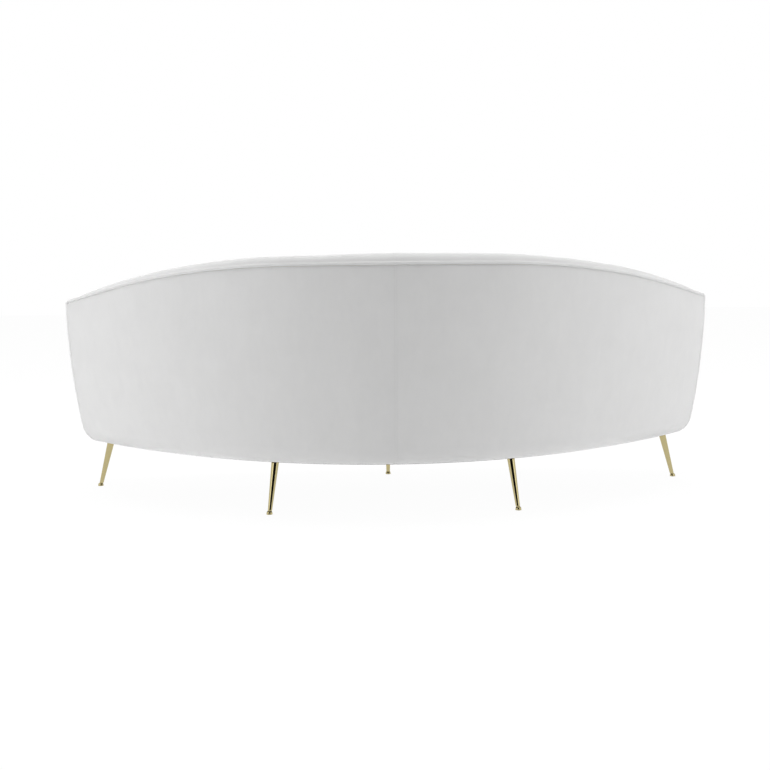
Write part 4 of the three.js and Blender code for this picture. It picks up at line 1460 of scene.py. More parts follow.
def seat_cover():
    beyond = spaced(seam_places[-1], seat_half_width, seat_pitch_across, seam_step, 1.5 * edge_step)
    near = np.concatenate([seam_places, beyond[1:]]) / seat_half_width
    columns = np.concatenate([0.5 - near[::-1] / 2, 0.5 + near / 2])
    rows = eased_shares(seat_deep, seat_pitch_deep, 0.75 * edge_step)
    plan = seat_grid(columns, rows)
    away = from_seat_edge(plan)
    points = np.dstack([plan, seat_skirt_up + seat_height(away)])
    points = points + smooth_step(away / seat_round)[..., None] * seat_swelling(columns, rows)
    there_and_back = np.concatenate([front_edge, front_edge[::-1] + [0, hairline]])
    to_front = edge_distance(plan.reshape(-1, 2), there_and_back).reshape(away.shape)
    run = plan[..., 0]
    gather = soft_noise(run, 0.2 * to_front, pucker_length, 43)
    puckers = pucker_depth * gather * np.exp(-to_front / pucker_reach)
    relief = 1.6 * swell(run, plan[..., 1], 41) * smooth_step(away / seat_swell_fade)
    relief += seam_relief(np.abs(run)) * smooth_step(away / seat_seam_fade)
    relief += puckers * smooth_step(away / seat_pucker_fade)
    # Painted crease shade beside the front piping and along the seat's edge
    shade = shade_by(to_front, away)
    outer, inner, normals = dressed(points, relief, padded_skin, (0, 0, 1))
    piece = shell("seat_top_cover", outer, inner, grid_uv(points), shade)
    put_in(piece, velvet_cover, "fabric", "seat_cover")
    for side in (1, -1):
        note_topstitch(outer, normals, plan[:, len(rows) // 2, 0], side, slice(8, -6))


def seat_foam():
    side = cover_thick + layer_gap + wadding_thick + curved_gap
    columns = 120
    plan = seat_grid(columns, eased_shares(seat_deep, foam_pitch, foam_edge_step))
    inwards = plan.mean(1, keepdims=True) - plan
    length = np.maximum(np.linalg.norm(inwards, axis=2, keepdims=True), 1e-6)
    rows = np.linspace(0, 1, plan.shape[1])[None, :, None]
    gap = np.where(rows < 0.5, layer_gap + foam_rear_gap, side + foam_front_gap)
    plan = plan + inwards / length * gap * smooth_step(np.abs(rows - 0.5) * 2)
    from_end = np.minimum(np.arange(columns), np.arange(columns)[::-1])[:, None]
    plan[..., 0] -= np.sign(plan[..., 0]) * foam_end_gap * (1 - smooth_step(from_end / 4))
    away = from_seat_edge(plan)
    upper = np.dstack([plan, seat_skirt_up + seat_height(away) - padded_thick - foam_top_gap])
    lower = np.dstack([plan, np.full(plan.shape[:2], rail_top + deck_clear)])
    piece = shell("seat_foam_block", upper, lower)
    put_in(piece, foam, "foam", "seat_foam")


def border_section(depth, lowest=-math.pi / 2, fine=True):
    """Out and up of the border's line: from its lower round up to the piping."""
    angle = np.linspace(lowest, 0, 14 if fine else 6)
    radius = border_round - depth
    out = -border_lean - border_round + radius * np.cos(angle)
    up = body_bottom + border_round + radius * np.sin(angle)
    rise = spaced(up[-1], border_top, border_rise_pitch, None, 1.5 * edge_step if fine else None)[1:]
    lean = mix(out[-1], -depth, (rise - up[-1]) / (border_top - up[-1]))
    return np.concatenate([out, lean]), np.concatenate([up, rise])


def border_cover():
    path = whole_front(cover_pitch, 1.25 * edge_step, seam_places)
    out, up = border_section(0)
    lap = -border_lean - border_round - bottom_lap
    out, up = np.concatenate([[lap], out]), np.concatenate([[body_bottom], up])
    points = on_path(path, out[None, :], np.repeat(up[None, :], len(path.x), axis=0))
    below, run = border_top - points[..., 2], path.run[:, None]
    hem = above_hem(points)
    from_end = smooth_step((path.run[-1] - np.abs(path.run)) / border_end_fade)[:, None]
    relief = hem * from_end * (piped_edge_relief(run, below) + swell(run, below, 51))
    relief += hem * seam_relief(np.abs(path.x[:, None]))
    # Painted crease shade below the seat piping
    shade = shade_by(below)
    outer, inner, normals = dressed(points, relief, taut_skin, (0, -1, 0))
    piece = shell("border_cover", outer, inner, grid_uv(points), shade)
    put_in(piece, velvet_cover, "fabric", "seat_border_cover")
    for side in (1, -1):
        note_topstitch(outer, normals, path.x, side, slice(4, -1))


def border_wadding():
    path = whole_front(border_wadding_pitch, border_wadding_pitch / 3)
    out, up = border_section(cover_thick + layer_gap, -math.pi / 4, False)
    points = on_path(path, out[None, :], np.repeat(up[None, :], len(path.x), axis=0))
    sunk = np.full(points.shape[:2], -border_wadding_sunk)
    outer, inner, _ = dressed(points, sunk, wadding_thick - border_wadding_squash, (0, -1, 0))
    piece = shell("border_wadding", outer, inner)
    put_in(piece, wadding, "wadding", "seat_border_padding")


def seat_piping():
    path = whole_front(piping_pitch, edge_step)
    up = border_top + seam_gap + piping_radius
    piping("seat_piping", path, -seat_piping_inset, np.full((len(path.x), 1), up), "seat_welt")


# The padded facing over each open end of the shell

facing_drops = np.array([0, 4, 9, 15, 22, 30, 40]) / 1000
facing_rings = np.array([0.6, 1.5, 2.8, 4.5, 7, 11, 16]) / 1000


def facing_outline():
    """The shell's section at its open end, as out and up."""
    path = back_path([half_span])
    low = float(inside_low(path.share)[0])
    drops = outside_drops(path, 0, 0, facing_drops, 44)
    out, up = outside_face(path, 0, drops, 16)
    face_out, face_up = inside_face(path)
    inner = np.stack([face_out[0, 6:-9], face_up[0, 6:-9]], axis=1)
    outer = np.stack([out[0], up[0]], axis=1)
    outline = np.concatenate([[[low, body_bottom]], outer, inner, [[low, rail_top]]])
    return resampled_loop(outline, 280)


def arm_end(side, name):
    outline = facing_outline()
    places, triangles = filled(outline, [], facing_pitch, facing_rings)
    away = edge_distance(places, outline)
    inside = np.clip(facing_round - away, 0, facing_round)
    height = facing_thick - facing_round + np.sqrt(facing_round**2 - inside**2)
    height += facing_crown * smooth_step((away - facing_flat_edge) / facing_crown_reach)
    height += facing_wave * soft_noise(places[:, 0], places[:, 1], facing_wave_length, 61)
    end = back_path([half_span])
    square, along = np.array([end.nx[0], end.ny[0], 0]), np.array([end.ny[0], -end.nx[0], 0])
    base = np.array([end.x[0], end.y[0], 0]) + along * layer_gap
    ground = base + places[:, :1] * square + places[:, 1:] * np.array([0, 0, 1])
    upper, lower = ground + along * height[:, None], ground
    to_side = np.array([side, 1, 1])
    piece = pad_between(f"arm_end_{name}", upper * to_side, lower * to_side, triangles, places, 0 * away)
    put_in(piece, velvet_cover, "fabric", f"arm_facing_{name}")


# Webbing and cloths under the seat

def rear_y(x, inset):
    """Where a line straight from front to back meets the seat's rear line."""
    out = inside_low(np.minimum(np.abs(x) / half_span, 1)) - seat_back_gap - inset
    return out * np.hypot(x / plan_radius, 1) + plan_y(x)


def front_y(x, inset):
    """Where it meets the seat's front line."""
    return front_centre[1] - np.sqrt(seat_front_radius**2 - x**2) + inset * np.hypot(x / seat_front_radius, 1)


strap_pitch = (half_span - outer_strap_inside) / strap_pairs


def strap(name, points, width_way, rise):
    """A flat woven strap: its middle line, the way across it, and how it passes over and under."""
    across = np.linspace(-0.5, 0.5, 7)[None, :, None] * strap_wide
    middle = points + np.stack([0 * rise, 0 * rise, rise], axis=1)
    upper = middle[:, None, :] + across * width_way[:, None, :] + np.array([0, 0, strap_thick / 2])
    piece = shell(name, upper, upper - np.array([0, 0, strap_thick]), grid_uv(upper))
    put_in(piece, webbing, "webbing", "seat_webbing")


def cross_strap(number):
    """A strap from the front rail to the rear rail, the middle one being number zero."""
    x = number * strap_pitch
    y = np.linspace(front_y(x, strap_front_inset + strap_lap), rear_y(x, layer_gap + strap_lap), 60)
    rise = np.zeros_like(y)
    for order, out in enumerate(long_strap_outs):
        if abs(number) <= long_strap_pairs[order]:
            centre = plan_y(x) - (out + strap_wide / 2) * math.hypot(x / plan_radius, 1)
            over = 1 if (number + order) % 2 == 0 else -1
            beyond = (np.abs(y - centre) - cross_strap_level) / strap_slope_run
            rise += over * strap_weave * (1 - smooth_step(beyond))
    points = np.stack([np.full_like(y, x), y, np.full_like(y, strap_middle_up)], axis=1)
    strap(f"cross_strap_{number + strap_pairs + 1}", points, np.tile([1.0, 0, 0], (len(y), 1)), rise)


def long_strap(order, name):
    """A strap from side to side that follows the back's curve."""
    out = long_strap_outs[order] + strap_wide / 2
    reach = long_strap_pairs[order] * strap_pitch + strap_wide / 2 + strap_lap
    half = reach / (1 - out / math.hypot(plan_radius, reach))
    path = back_path(np.linspace(-half, half, 260))
    x = path.x - out * path.nx
    places = x / strap_pitch
    number = np.round(places).astype(int)
    over = np.where((number + order) % 2 == 0, -1, 1)
    from_crossing = np.abs(x - number * strap_pitch)
    rise = over * strap_weave * (1 - smooth_step((from_crossing - long_strap_level) / strap_slope_run))
    points = np.stack([x, path.y - out * path.ny, np.full_like(x, strap_middle_up)], axis=1)
    width_way = np.stack([path.nx, path.ny, 0 * x], axis=1)
    strap(f"long_strap_{name}", points, width_way, rise)


def inset_outline(inset):
    """The seat's outline moved inwards, from a dense copy of it."""
    dense = resampled_loop(seat_outline, 700)
    ring = shifted_ring(dense, inset)
    return ring[edge_distance(ring, dense) > 0.985 * inset]


def deck_cloth():
    outline = inset_outline(deck_inset)
    places, triangles = filled(outline, [], deck_pitch)
    rise = deck_low + deck_wave * (1 + soft_noise(places[:, 0], places[:, 1], deck_wave_length, 71))
    upper = np.column_stack([places, rise + deck_thick])
    piece = pad_between("deck_cloth", upper, np.column_stack([places, rise]), triangles, places)
    put_in(piece, lining, "lining", "seat_deck_cloth")


# Legs, feet and plates

def leg_places():
    """Each leg's name, where its foot stands, and the way it leans."""
    lean_across = leg_lean * rear_lean_share
    heading = math.atan2(math.sqrt(leg_lean**2 - lean_across**2), lean_across)
    rear = plan_y(rear_foot_across) - rear_foot_inside
    end = plan_y(half_span) - end_foot_before
    front = plan_y(half_span) - seat_before_arms + front_foot_setback
    return [
        ("rear_left", rear_foot_across, rear, heading),
        ("rear_right", -rear_foot_across, rear, math.pi - heading),
        ("end_left", half_span + end_foot_beyond, end, 0),
        ("end_right", -half_span - end_foot_beyond, end, math.pi),
        ("front", 0, front, -math.pi / 2),
    ]


def square_corners(half):
    """The corners of a square, round the place above a leg that leans from its foot."""
    corners = [[-half, -half, 0], [half, -half, 0], [half, half, 0], [-half, half, 0]]
    return np.array(corners) - [leg_lean, 0, 0]


def placed(points, x, y, heading):
    """Points made with the foot at the origin and leaning towards +X, put where the leg stands."""
    turn = np.array([
        [math.cos(heading), -math.sin(heading), 0],
        [math.sin(heading), math.cos(heading), 0],
        [0, 0, 1],
    ])
    return points @ turn.T + [x, y, 0]


leg_length = math.hypot(leg_lean, body_bottom)
leg_axis = np.array([-leg_lean, 0, body_bottom]) / leg_length
leg_side = np.array([body_bottom, 0, leg_lean]) / leg_length


def square_to_leg(angle):
    """Directions round a leg's axis."""
    return np.cos(angle)[:, None] * leg_side + np.sin(angle)[:, None] * np.array([0, 1.0, 0])


def level_ring(up, shrink, sides):
    """A ring round the tapered leg, level at a height, its radius less by 'shrink'."""
    angle = circle(sides)
    taper = (leg_top_radius - leg_tip_radius) / leg_length
    lift = np.cos(angle) * leg_side[2]
    along = (up - (leg_tip_radius - shrink) * lift) / (leg_axis[2] + taper * lift)
    radius = leg_tip_radius + taper * along - shrink
    return along[:, None] * leg_axis + radius[:, None] * square_to_leg(angle)


def leg(name, x, y, heading):
    """A tapered tube, bevelled at the tip and flared into its weld at the top."""
    low = [(leg_low, leg_bevel), (leg_low + 0.3 * leg_bevel, 0.3 * leg_bevel), (leg_low + leg_bevel, 0)]
    body = [(up, 0) for up in np.linspace(leg_low + leg_plain_from, leg_high - leg_plain_to, 10)]
    high = [(leg_high - down * weld_tall, -out * weld_out) for down, out in weld_shares]
    rings = np.array([level_ring(up, shrink, 56) for up, shrink in [*low, *body, *high]])
    piece = ring_body(f"leg_{name}", placed(rings, x, y, heading), leg_crisp)
    put_in(piece, brass, "brass", f"{name}_leg")


def turned_rings(profile, sides):
    """Rings round an upright axis from (radius, height) pairs."""
    profile, angle = np.asarray(profile), circle(sides)
    ring = np.stack([np.cos(angle), np.sin(angle), 0 * angle], axis=1)
    return profile[:, :1, None] * ring[None] + np.array([0, 0, 1.0]) * profile[:, 1:, None]


def foot_profile():
    """From the hollow under the base, round the rim and over the dome to the neck."""
    base = [
        (foot_radius - foot_hollow_in, foot_hollow_up),
        (foot_radius - foot_tread_in, 0),
        (foot_radius - foot_base_round, 0),
        (foot_radius - 0.25 * foot_base_round, 0.25 * foot_base_round),
        (foot_radius, foot_base_round),
        (foot_radius, foot_rim_tall - foot_rim_bevel_tall),
        (foot_radius - foot_rim_bevel, foot_rim_tall),
    ]
    dome = []
    for angle in np.linspace(0, math.pi / 2, 17)[1:].tolist():
        bulge = (foot_radius - foot_rim_bevel - foot_neck_radius) * math.cos(angle) ** 0.8
        rise = (foot_tall - foot_rim_tall) * math.sin(angle)
        dome.append((foot_neck_radius + bulge, foot_rim_tall + rise))
    return [*base, *dome, (foot_neck_radius - foot_neck_lip, foot_tall)]


def thread_rings():
    """The threaded stem that screws up into the leg."""
    rings = []
    for k, along in enumerate(np.linspace(foot_tall / 2, stem_long, 57)):
        radius = stem_radius - (stem_thread_deep if k % 2 else 0)
        rings.append(along * leg_axis + radius * square_to_leg(circle(16)))
    return np.array(rings)


def foot(name, x, y, heading):
    dome = ring_body("dome", placed(turned_rings(foot_profile(), 48), x, y, heading), dome_crisp)
    stem = ring_body("stem", placed(thread_rings(), x, y, heading), thread_crisp)
    piece = joined(f"foot_{name}", [dome, stem])
    put_in(piece, brass, "brass", f"{name}_foot")


def under_cloth_edge():
    """The edge of the cloth below, with a notch round each arm end."""
    rear = back_path(np.linspace(half_span, -half_span, 220))
    rear_edge = np.stack([rear.x + under_cloth_lap * rear.nx, rear.y + under_cloth_lap * rear.ny], axis=1)
    square, along = left_end.square, left_end.along
    corner = np.array([half_span, plan_y(half_span)])
    reach = facing_thick + 2 * seam_gap + layer_gap + under_cloth_inset
    inner_out = inside_low_end - seat_back_gap - under_cloth_inset
    notch = np.array([
        corner + square * inner_out,
        corner + square * inner_out + along * reach,
        corner + square * (seat_end_out - under_cloth_inset) + along * reach,
    ])
    front = whole_front(under_cloth_pitch)
    inner_x = front.x - under_cloth_inset * front.nx
    inner_y = front.y - under_cloth_inset * front.ny
    keep = (front.run[-1] - np.abs(front.run)) > under_cloth_inset + under_cloth_end_gap
    front_edge_in = np.stack([inner_x, inner_y], axis=1)[keep][::-1]
    return np.concatenate([rear_edge, notch * mirrored, front_edge_in, notch[::-1]])


def under_cloth(outline):
    """The black cloth below, cut round each leg's plate."""
    opening = square_corners(plate_hole_side / 2)
    holes = [placed(opening, x, y, heading)[:, :2] for _, x, y, heading in leg_places()]
    places, triangles = filled(outline, holes, under_cloth_fill_pitch)
    free = smooth_step(edge_distance(places, outline) / under_cloth_sag_reach)
    wave = 1 + soft_noise(places[:, 0], places[:, 1], under_cloth_wave_length, 81)
    low = np.column_stack([places, under_cloth_low - under_cloth_sag * wave * free])
    piece = pad_between("under_cloth", low + [0, 0, under_cloth_thick], low, triangles, places)
    put_in(piece, lining, "lining", "dust_cover")


# Repeated small parts, grown along lines and on points by node trees

def grown(name, source, tree, values):
    """Runs a node tree on a source object and keeps the result as a plain mesh."""
    modifier = source.modifiers.new("grow", "NODES")
    modifier.node_group = tree
    for item in tree.interface.items_tree:
        if item.item_type == "SOCKET" and item.in_out == "INPUT" and item.name in values:
            modifier[item.identifier] = values[item.name]
    bpy.context.view_layer.update()
    evaluated = source.evaluated_get(bpy.context.evaluated_depsgraph_get())
    mesh = bpy.data.meshes.new_from_object(evaluated)
    mesh.name = name
    mesh.materials.clear()
    bpy.data.objects.remove(source)
    return add_object(name, mesh)


def tree_with(name, sizes):
    """A node tree with a source, named sizes and a result."""
    tree = bpy.data.node_groups.new(name, "GeometryNodeTree")
    tree.interface.new_socket("Source", in_out="INPUT", socket_type="NodeSocketGeometry")
    for label, kind, value in sizes:
        socket = tree.interface.new_socket(label, in_out="INPUT", socket_type=kind)
        if value is not None:
            socket.default_value = value
    tree.interface.new_socket("Result", in_out="OUTPUT", socket_type="NodeSocketGeometry")
    return tree, node(tree, "NodeGroupInput"), node(tree, "NodeGroupOutput")


def end_tree(tree, instances, output, material):
    """Makes the instances real and gives them their material."""
    realized = node(tree, "GeometryNodeRealizeInstances")
    coloured = node(tree, "GeometryNodeSetMaterial")
    coloured.inputs["Material"].default_value = material
    tree.links.new(instances, realized.inputs["Geometry"])
    tree.links.new(realized.outputs["Geometry"], coloured.inputs["Geometry"])
    tree.links.new(coloured.outputs["Geometry"], output.inputs["Result"])


def facing_turn(tree, tangent):
    """A turn whose Z follows the surface's own direction and whose X follows the line."""
    square = node(tree, "GeometryNodeInputNamedAttribute", data_type="FLOAT_VECTOR")
    square.inputs["Name"].default_value = "square_out"
    turn = node(tree, "FunctionNodeAxesToRotation", primary_axis="Z", secondary_axis="X")
    tree.links.new(square.outputs["Attribute"], turn.inputs["Primary Axis"])
    tree.links.new(tangent, turn.inputs["Secondary Axis"])
    return turn.outputs["Rotation"]


def even_places(tree, given):
    """Places along the source's lines, one pitch apart."""
    line = node(tree, "GeometryNodeMeshToCurve")
    spacing = node(tree, "GeometryNodeResampleCurve", mode="LENGTH")
    tree.links.new(given.outputs["Source"], line.inputs["Mesh"])
    tree.links.new(line.outputs["Curve"], spacing.inputs["Curve"])
    tree.links.new(given.outputs["Pitch"], spacing.inputs["Length"])
    return spacing.outputs["Curve"]


def turned_by_chance(tree, turn, seed, least, most):
    """A turn followed by one about its own Z, between two angles."""
    chance = node(tree, "FunctionNodeRandomValue", data_type="FLOAT")
    chance.inputs[2].default_value = least
    chance.inputs[3].default_value = most
    tree.links.new(seed, chance.inputs["Seed"])
    about = node(tree, "FunctionNodeAxisAngleToRotation")
    tree.links.new(chance.outputs[1], about.inputs["Angle"])
    turned = node(tree, "FunctionNodeRotateRotation", rotation_space="LOCAL")
    tree.links.new(turn, turned.inputs["Rotation"])
    tree.links.new(about.outputs["Rotation"], turned.inputs["Rotate By"])
    return turned.outputs["Rotation"]


def shape_source(tree, shape):
    source = node(tree, "GeometryNodeObjectInfo")
    source.inputs["Object"].default_value = shape
    return source.outputs["Geometry"]


def spread_on(tree, points, shape, turn):
    """Puts the shape on every point."""
    spread = node(tree, "GeometryNodeInstanceOnPoints")
    tree.links.new(points, spread.inputs["Points"])
    tree.links.new(shape, spread.inputs["Instance"])
    tree.links.new(turn, spread.inputs["Rotation"])
    return spread


def stitch_arch(tree, given):
    """One stitch: thread that comes up out of the cloth, runs along it and goes down again."""
    half = multiplied(tree, given.outputs["Stitch Length"], 0.5)
    behind = multiplied(tree, half, -1)
    sink = multiplied(tree, given.outputs["Rise"], -0.5)
    arch = node(tree, "GeometryNodeCurveQuadraticBezier")
    arch.inputs["Resolution"].default_value = 4
    corners = [("Start", behind, sink), ("End", half, sink), ("Middle", None, given.outputs["Rise"])]
    for socket, x, z in corners:
        corner = node(tree, "ShaderNodeCombineXYZ")
        if x is not None:
            tree.links.new(x, corner.inputs["X"])
        tree.links.new(z, corner.inputs["Z"])
        tree.links.new(corner.outputs[0], arch.inputs[socket])
    ring = node(tree, "GeometryNodeCurvePrimitiveCircle")
    ring.inputs["Resolution"].default_value = 6
    tree.links.new(given.outputs["Thread Radius"], ring.inputs["Radius"])
    sweep = node(tree, "GeometryNodeCurveToMesh")
    sweep.inputs["Fill Caps"].default_value = True
    tree.links.new(arch.outputs["Curve"], sweep.inputs["Curve"])
    tree.links.new(ring.outputs["Curve"], sweep.inputs["Profile Curve"])
    return sweep.outputs["Mesh"]


def stitch_tree():
    sizes = [
        ("Pitch", "NodeSocketFloat", stitch_pitch),
        ("Stitch Length", "NodeSocketFloat", stitch_long),
        ("Thread Radius", "NodeSocketFloat", thread_radius),
        ("Rise", "NodeSocketFloat", stitch_rise),
    ]
    tree, given, output = tree_with("stitch_row", sizes)
    tangent = node(tree, "GeometryNodeInputTangent").outputs["Tangent"]
    spread = spread_on(tree, even_places(tree, given), stitch_arch(tree, given), facing_turn(tree, tangent))
    end_tree(tree, spread.outputs["Instances"], output, thread)
    return tree


def line_object(lines):
    """A source object of open lines, each point knowing which way the surface faces."""
    points = np.concatenate([line for line, _ in lines])
    squares = np.concatenate([square for _, square in lines])
    edges, first = [], 0
    for line, _ in lines:
        edges += [(first + k, first + k + 1) for k in range(len(line) - 1)]
        first += len(line)
    mesh = bpy.data.meshes.new("lines")
    mesh.from_pydata(points.tolist(), edges, [])
    mesh.attributes.new("square_out", "FLOAT_VECTOR", "POINT").data.foreach_set("vector", squares.ravel())
    return add_object("lines", mesh)


def sew():
    sizes = {"Pitch": stitch_pitch, "Stitch Length": stitch_long}
    put_in(grown("topstitching", line_object(stitch_lines), stitch_tree(), sizes), thread, "fabric")


def screw_head():
    """A pan head with a cross-shaped recess, its axis up and its seat at zero."""
    levels = [(out * screw_radius, up * screw_tall) for out, up in screw_shares]
    rings = turned_rings(levels, 24)
    away = np.linalg.norm(rings[..., :2], axis=2) / screw_radius
    arm = np.minimum(np.abs(rings[..., 0]), np.abs(rings[..., 1])) / screw_radius
    cut = (arm < 0.13) & (away < 0.62) & (away > 0.01)
    rings[..., 2] -= np.where(cut, 0.55 * screw_tall * (1 - away / 0.75), 0)
    return ring_body("screw_head", rings, screw_crisp)


def point_tree(name, shape, material, seed):
    """Puts a shape on every point, its Z along the surface's direction, turned at random about it."""
    sizes = [("Scale", "NodeSocketFloat", 1), ("Seed", "NodeSocketInt", seed)]
    tree, given, output = tree_with(name, sizes)
    square = node(tree, "GeometryNodeInputNamedAttribute", data_type="FLOAT_VECTOR")
    square.inputs["Name"].default_value = "square_out"
    aim = node(tree, "FunctionNodeAlignRotationToVector", axis="Z")
    tree.links.new(square.outputs["Attribute"], aim.inputs["Vector"])
    turn = turned_by_chance(tree, aim.outputs["Rotation"], given.outputs["Seed"], 0, math.pi)
    points = node(tree, "GeometryNodeMeshToPoints")
    tree.links.new(given.outputs["Source"], points.inputs["Mesh"])
    spread = spread_on(tree, points.outputs["Points"], shape_source(tree, shape), turn)
    tree.links.new(given.outputs["Scale"], spread.inputs["Scale"])
    end_tree(tree, spread.outputs["Instances"], output, material)
    return tree


def plate_screws():
    """Four screws below each leg's plate."""
    corners = square_corners(plate_screw_half) + [0, 0, plate_low]
    points = np.concatenate([placed(corners, x, y, heading) for _, x, y, heading in leg_places()])
    squares = np.tile([0, 0, -1.0], (len(points), 1))
    head = screw_head()
    tree = point_tree("screws_on_plates", head, steel, screw_seed)
    piece = grown("plate_screws", line_object([(points, squares)]), tree, {"Scale": 1.0, "Seed": screw_seed})
    bpy.data.objects.remove(head)
    put_in(piece, steel, "steel")


def staple_shape():
    """A wire staple lying along X, its legs down."""
    half, bent = staple_wide / 2, staple_wide / 2 - staple_bend
    line = np.array([
        [-half, 0, -staple_deep],
        [-half, 0, 0],
        [-bent, 0, wire_thick / 2],
        [bent, 0, wire_thick / 2],
        [half, 0, 0],
        [half, 0, -staple_deep],
    ])
    angle = (circle(8) + math.pi / 8)[None, :, None]
    run = np.gradient(line, axis=0)
    run /= np.linalg.norm(run, axis=1, keepdims=True)
    side = np.array([0, 1.0, 0])
    other = np.cross(run, side)[:, None, :]
    rings = line[:, None, :] + 0.5 * wire_thick * (np.cos(angle) * 1.5 * side + np.sin(angle) * other)
    return ring_body("staple", rings, thread_crisp)


def staple_tree(shape):
    sizes = [("Pitch", "NodeSocketFloat", staple_pitch), ("Seed", "NodeSocketInt", staple_seed)]
    tree, given, output = tree_with("staple_row", sizes)
    tangent = node(tree, "GeometryNodeInputTangent").outputs["Tangent"]
    straight = facing_turn(tree, tangent)
    turn = turned_by_chance(tree, straight, given.outputs["Seed"], -staple_slant, staple_slant)
    spread = spread_on(tree, even_places(tree, given), shape_source(tree, shape), turn)
    end_tree(tree, spread.outputs["Instances"], output, steel)
    return tree


def staples(outline):
    """Staples along the edge of the cloth below."""
    dense = resampled_loop(outline, 800)
    ring = shifted_ring(dense, staple_inset)
    ring = ring[edge_distance(ring, dense) > staple_least_inset]
    jumps = np.linalg.norm(np.diff(ring, axis=0), axis=1) > staple_gap
    parts = np.split(ring, np.nonzero(jumps)[0] + 1)
    lines = []
    for part in parts:
        if len(part) > 3:
            up = np.full((len(part), 1), under_cloth_low)
            lines.append((np.hstack([part, up]), np.tile([0, 0, -1.0], (len(part), 1))))
    shape = staple_shape()
    sizes = {"Pitch": staple_pitch, "Seed": staple_seed}
    piece = grown("cloth_staples", line_object(lines), staple_tree(shape), sizes)
    bpy.data.objects.remove(shape)
    put_in(piece, steel, "steel")


def finish_frame():
    """Gives the rigid parts that stay their wood and metal."""
    for name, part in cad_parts.items():
        if part.hide_render:
            continue
        material = steel if name.endswith("_leg_plate") else timber
        if not part.material_slots:
            part.data.materials.append(material)
        for place in part.material_slots:
            place.material = material


# Floor, light and camera

def white_where_seen(tree, seen_level):
    """1 for rays that see a surface straight or in metal and glass, else 0."""
    path = node(tree, "ShaderNodeLightPath")
    first = calculated(tree, "MAXIMUM", path.outputs["Is Camera Ray"], path.outputs["Is Glossy Ray"])
    seen = calculated(tree, "MAXIMUM", first, path.outputs["Is Transmission Ray"])
    return multiplied(tree, seen, seen_level)


def blended(tree, seen_level, usual, seen):
    """One surface for the light that falls on the sofa, and another for the rays that see it."""
    blend = node(tree, "ShaderNodeMixShader")
    tree.links.new(white_where_seen(tree, seen_level), blend.inputs["Fac"])
    tree.links.new(usual, blend.inputs[1])
    tree.links.new(seen, blend.inputs[2])
    return blend.outputs["Shader"]


def lay_floor():
    steps = 8
    line = np.linspace(-floor_size / 2, floor_size / 2, steps)
    grid = np.stack(np.meshgrid(line, line, indexing="ij"), axis=2)
    points = np.dstack([grid, np.zeros(grid.shape[:2])]).reshape(-1, 3)
    mesh = bpy.data.meshes.new("floor")
    mesh.from_pydata(points.tolist(), [], grid_faces(steps, steps).tolist())
    floor = add_object("floor", mesh)
    material, tree, shader = new_material("white_floor")
    shader.inputs["Base Color"].default_value = (0.90, 0.90, 0.90, 1)
    shader.inputs["Roughness"].default_value = 0.9
    glow = node(tree, "ShaderNodeEmission")
    glow.inputs["Color"].default_value = (1, 1, 1, 1)
    glow.inputs["Strength"].default_value = 1.015
    surface = blended(tree, 0.95, shader.outputs["BSDF"], glow.outputs["Emission"])
    tree.links.new(surface, tree.nodes["Material Output"].inputs["Surface"])
    mesh.materials.append(material)


def light_world(level):
    world = bpy.data.worlds.new("studio")
    world.use_nodes = True
    tree = world.node_tree
    tree.nodes.clear()
    around, seen = node(tree, "ShaderNodeBackground"), node(tree, "ShaderNodeBackground")
    around.inputs["Color"].default_value = (1, 1, 1, 1)
    around.inputs["Strength"].default_value = level
    seen.inputs["Color"].default_value = (1, 1, 1, 1)
    seen.inputs["Strength"].default_value = 1.0
    surface = blended(tree, 1.0, around.outputs["Background"], seen.outputs["Background"])
    tree.links.new(surface, node(tree, "ShaderNodeOutputWorld").inputs["Surface"])
    bpy.context.scene.world = world


def softbox(lamp):
    """A lamp that lights the cloth but isn't seen itself, nor mirrored in the metal."""
    light = bpy.data.lights.new(lamp.name, "AREA")
    light.shape = lamp.shape
    light.size, light.size_y = lamp.size
    light.energy = lamp.power
    made = add_object(lamp.name, light)
    made.location = lamp.place
    made.rotation_euler = (Vector(lamp.aim) - Vector(lamp.place)).to_track_quat("-Z", "Y").to_euler()
    made.visible_glossy = False
    made.visible_camera = False


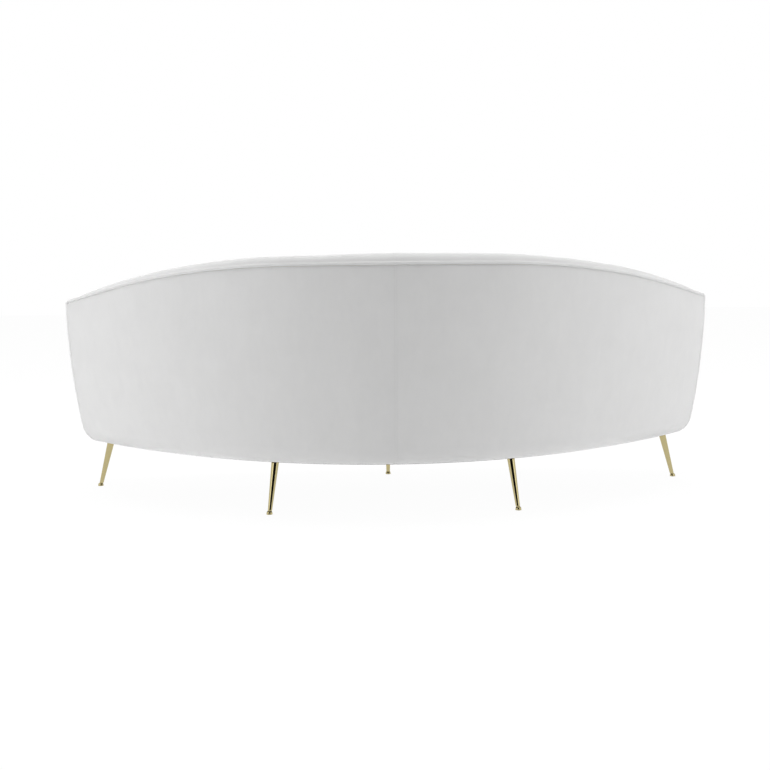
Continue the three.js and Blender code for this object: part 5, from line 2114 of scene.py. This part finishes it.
def studio_card(name, first, last, low, high, glow):
    """An upright board of the studio that only polished metal shows, dark or lit."""
    corners = [(*first, low), (*last, low), (*last, high), (*first, high)]
    mesh = bpy.data.meshes.new(name)
    mesh.from_pydata(corners, [], [(0, 1, 2, 3)])
    card = add_object(name, mesh)
    material, _, shader = new_material(name)
    shader.inputs["Base Color"].default_value = (0.008, 0.008, 0.009, 1)
    shader.inputs["Roughness"].default_value = 1.0
    shader.inputs["Specular IOR Level"].default_value = 0.0
    shader.inputs["Emission Color"].default_value = (1, 1, 1, 1)
    shader.inputs["Emission Strength"].default_value = glow
    mesh.materials.append(material)
    card.visible_camera = card.visible_diffuse = card.visible_shadow = False
    card.visible_transmission = card.visible_volume_scatter = False


def set_camera():
    """The photograph's view, from behind: place, turn, tilt and roll."""
    level = math.cos(camera_pitch)
    forward = Vector((math.sin(camera_yaw) * level, -math.cos(camera_yaw) * level, -math.sin(camera_pitch)))
    right = Vector((-math.cos(camera_yaw), -math.sin(camera_yaw), 0))
    up = right.cross(forward)
    across = math.cos(camera_roll) * right + math.sin(camera_roll) * up
    upright = -math.sin(camera_roll) * right + math.cos(camera_roll) * up
    turn = Matrix((across, upright, -forward)).transposed().to_4x4()
    data = bpy.data.cameras.new("camera")
    data.sensor_width, data.lens = camera_sensor_width, camera_lens
    data.clip_start, data.clip_end = camera_clip
    camera = add_object("camera", data)
    camera.matrix_world = Matrix.Translation(camera_place) @ turn
    bpy.context.scene.camera = camera


def light_studio():
    light_world(world_level)
    for lamp in lamps:
        softbox(lamp)
    behind = dark_card_behind
    studio_card("dark_card", (-dark_card_half, behind), (dark_card_half, behind), 0, dark_card_top, 0)
    for side, name in left_and_right:
        near, far = np.array([side, 1]) * lit_card_near, np.array([side, 1]) * lit_card_far
        studio_card(f"lit_card_{name}", near, far, lit_card_low, lit_card_top, lit_card_glow)


for side, name in left_and_right:
    outside_cover(side, name)
    inside_cover(side, name)
    arm_end(side, name)
outside_wadding()
back_foam()
back_cloth()
top_piping()
seat_cover()
seat_foam()
border_cover()
border_wadding()
seat_piping()
for number in range(-strap_pairs, strap_pairs + 1):
    cross_strap(number)
long_strap(0, "rear")
long_strap(1, "front")
deck_cloth()
cloth_edge = under_cloth_edge()
under_cloth(cloth_edge)
for name, x, y, heading in leg_places():
    leg(name, x, y, heading)
    foot(name, x, y, heading)
sew()
plate_screws()
staples(cloth_edge)
finish_frame()
lay_floor()
light_studio()
set_camera()
bpy.context.scene.view_settings.view_transform = "Standard"
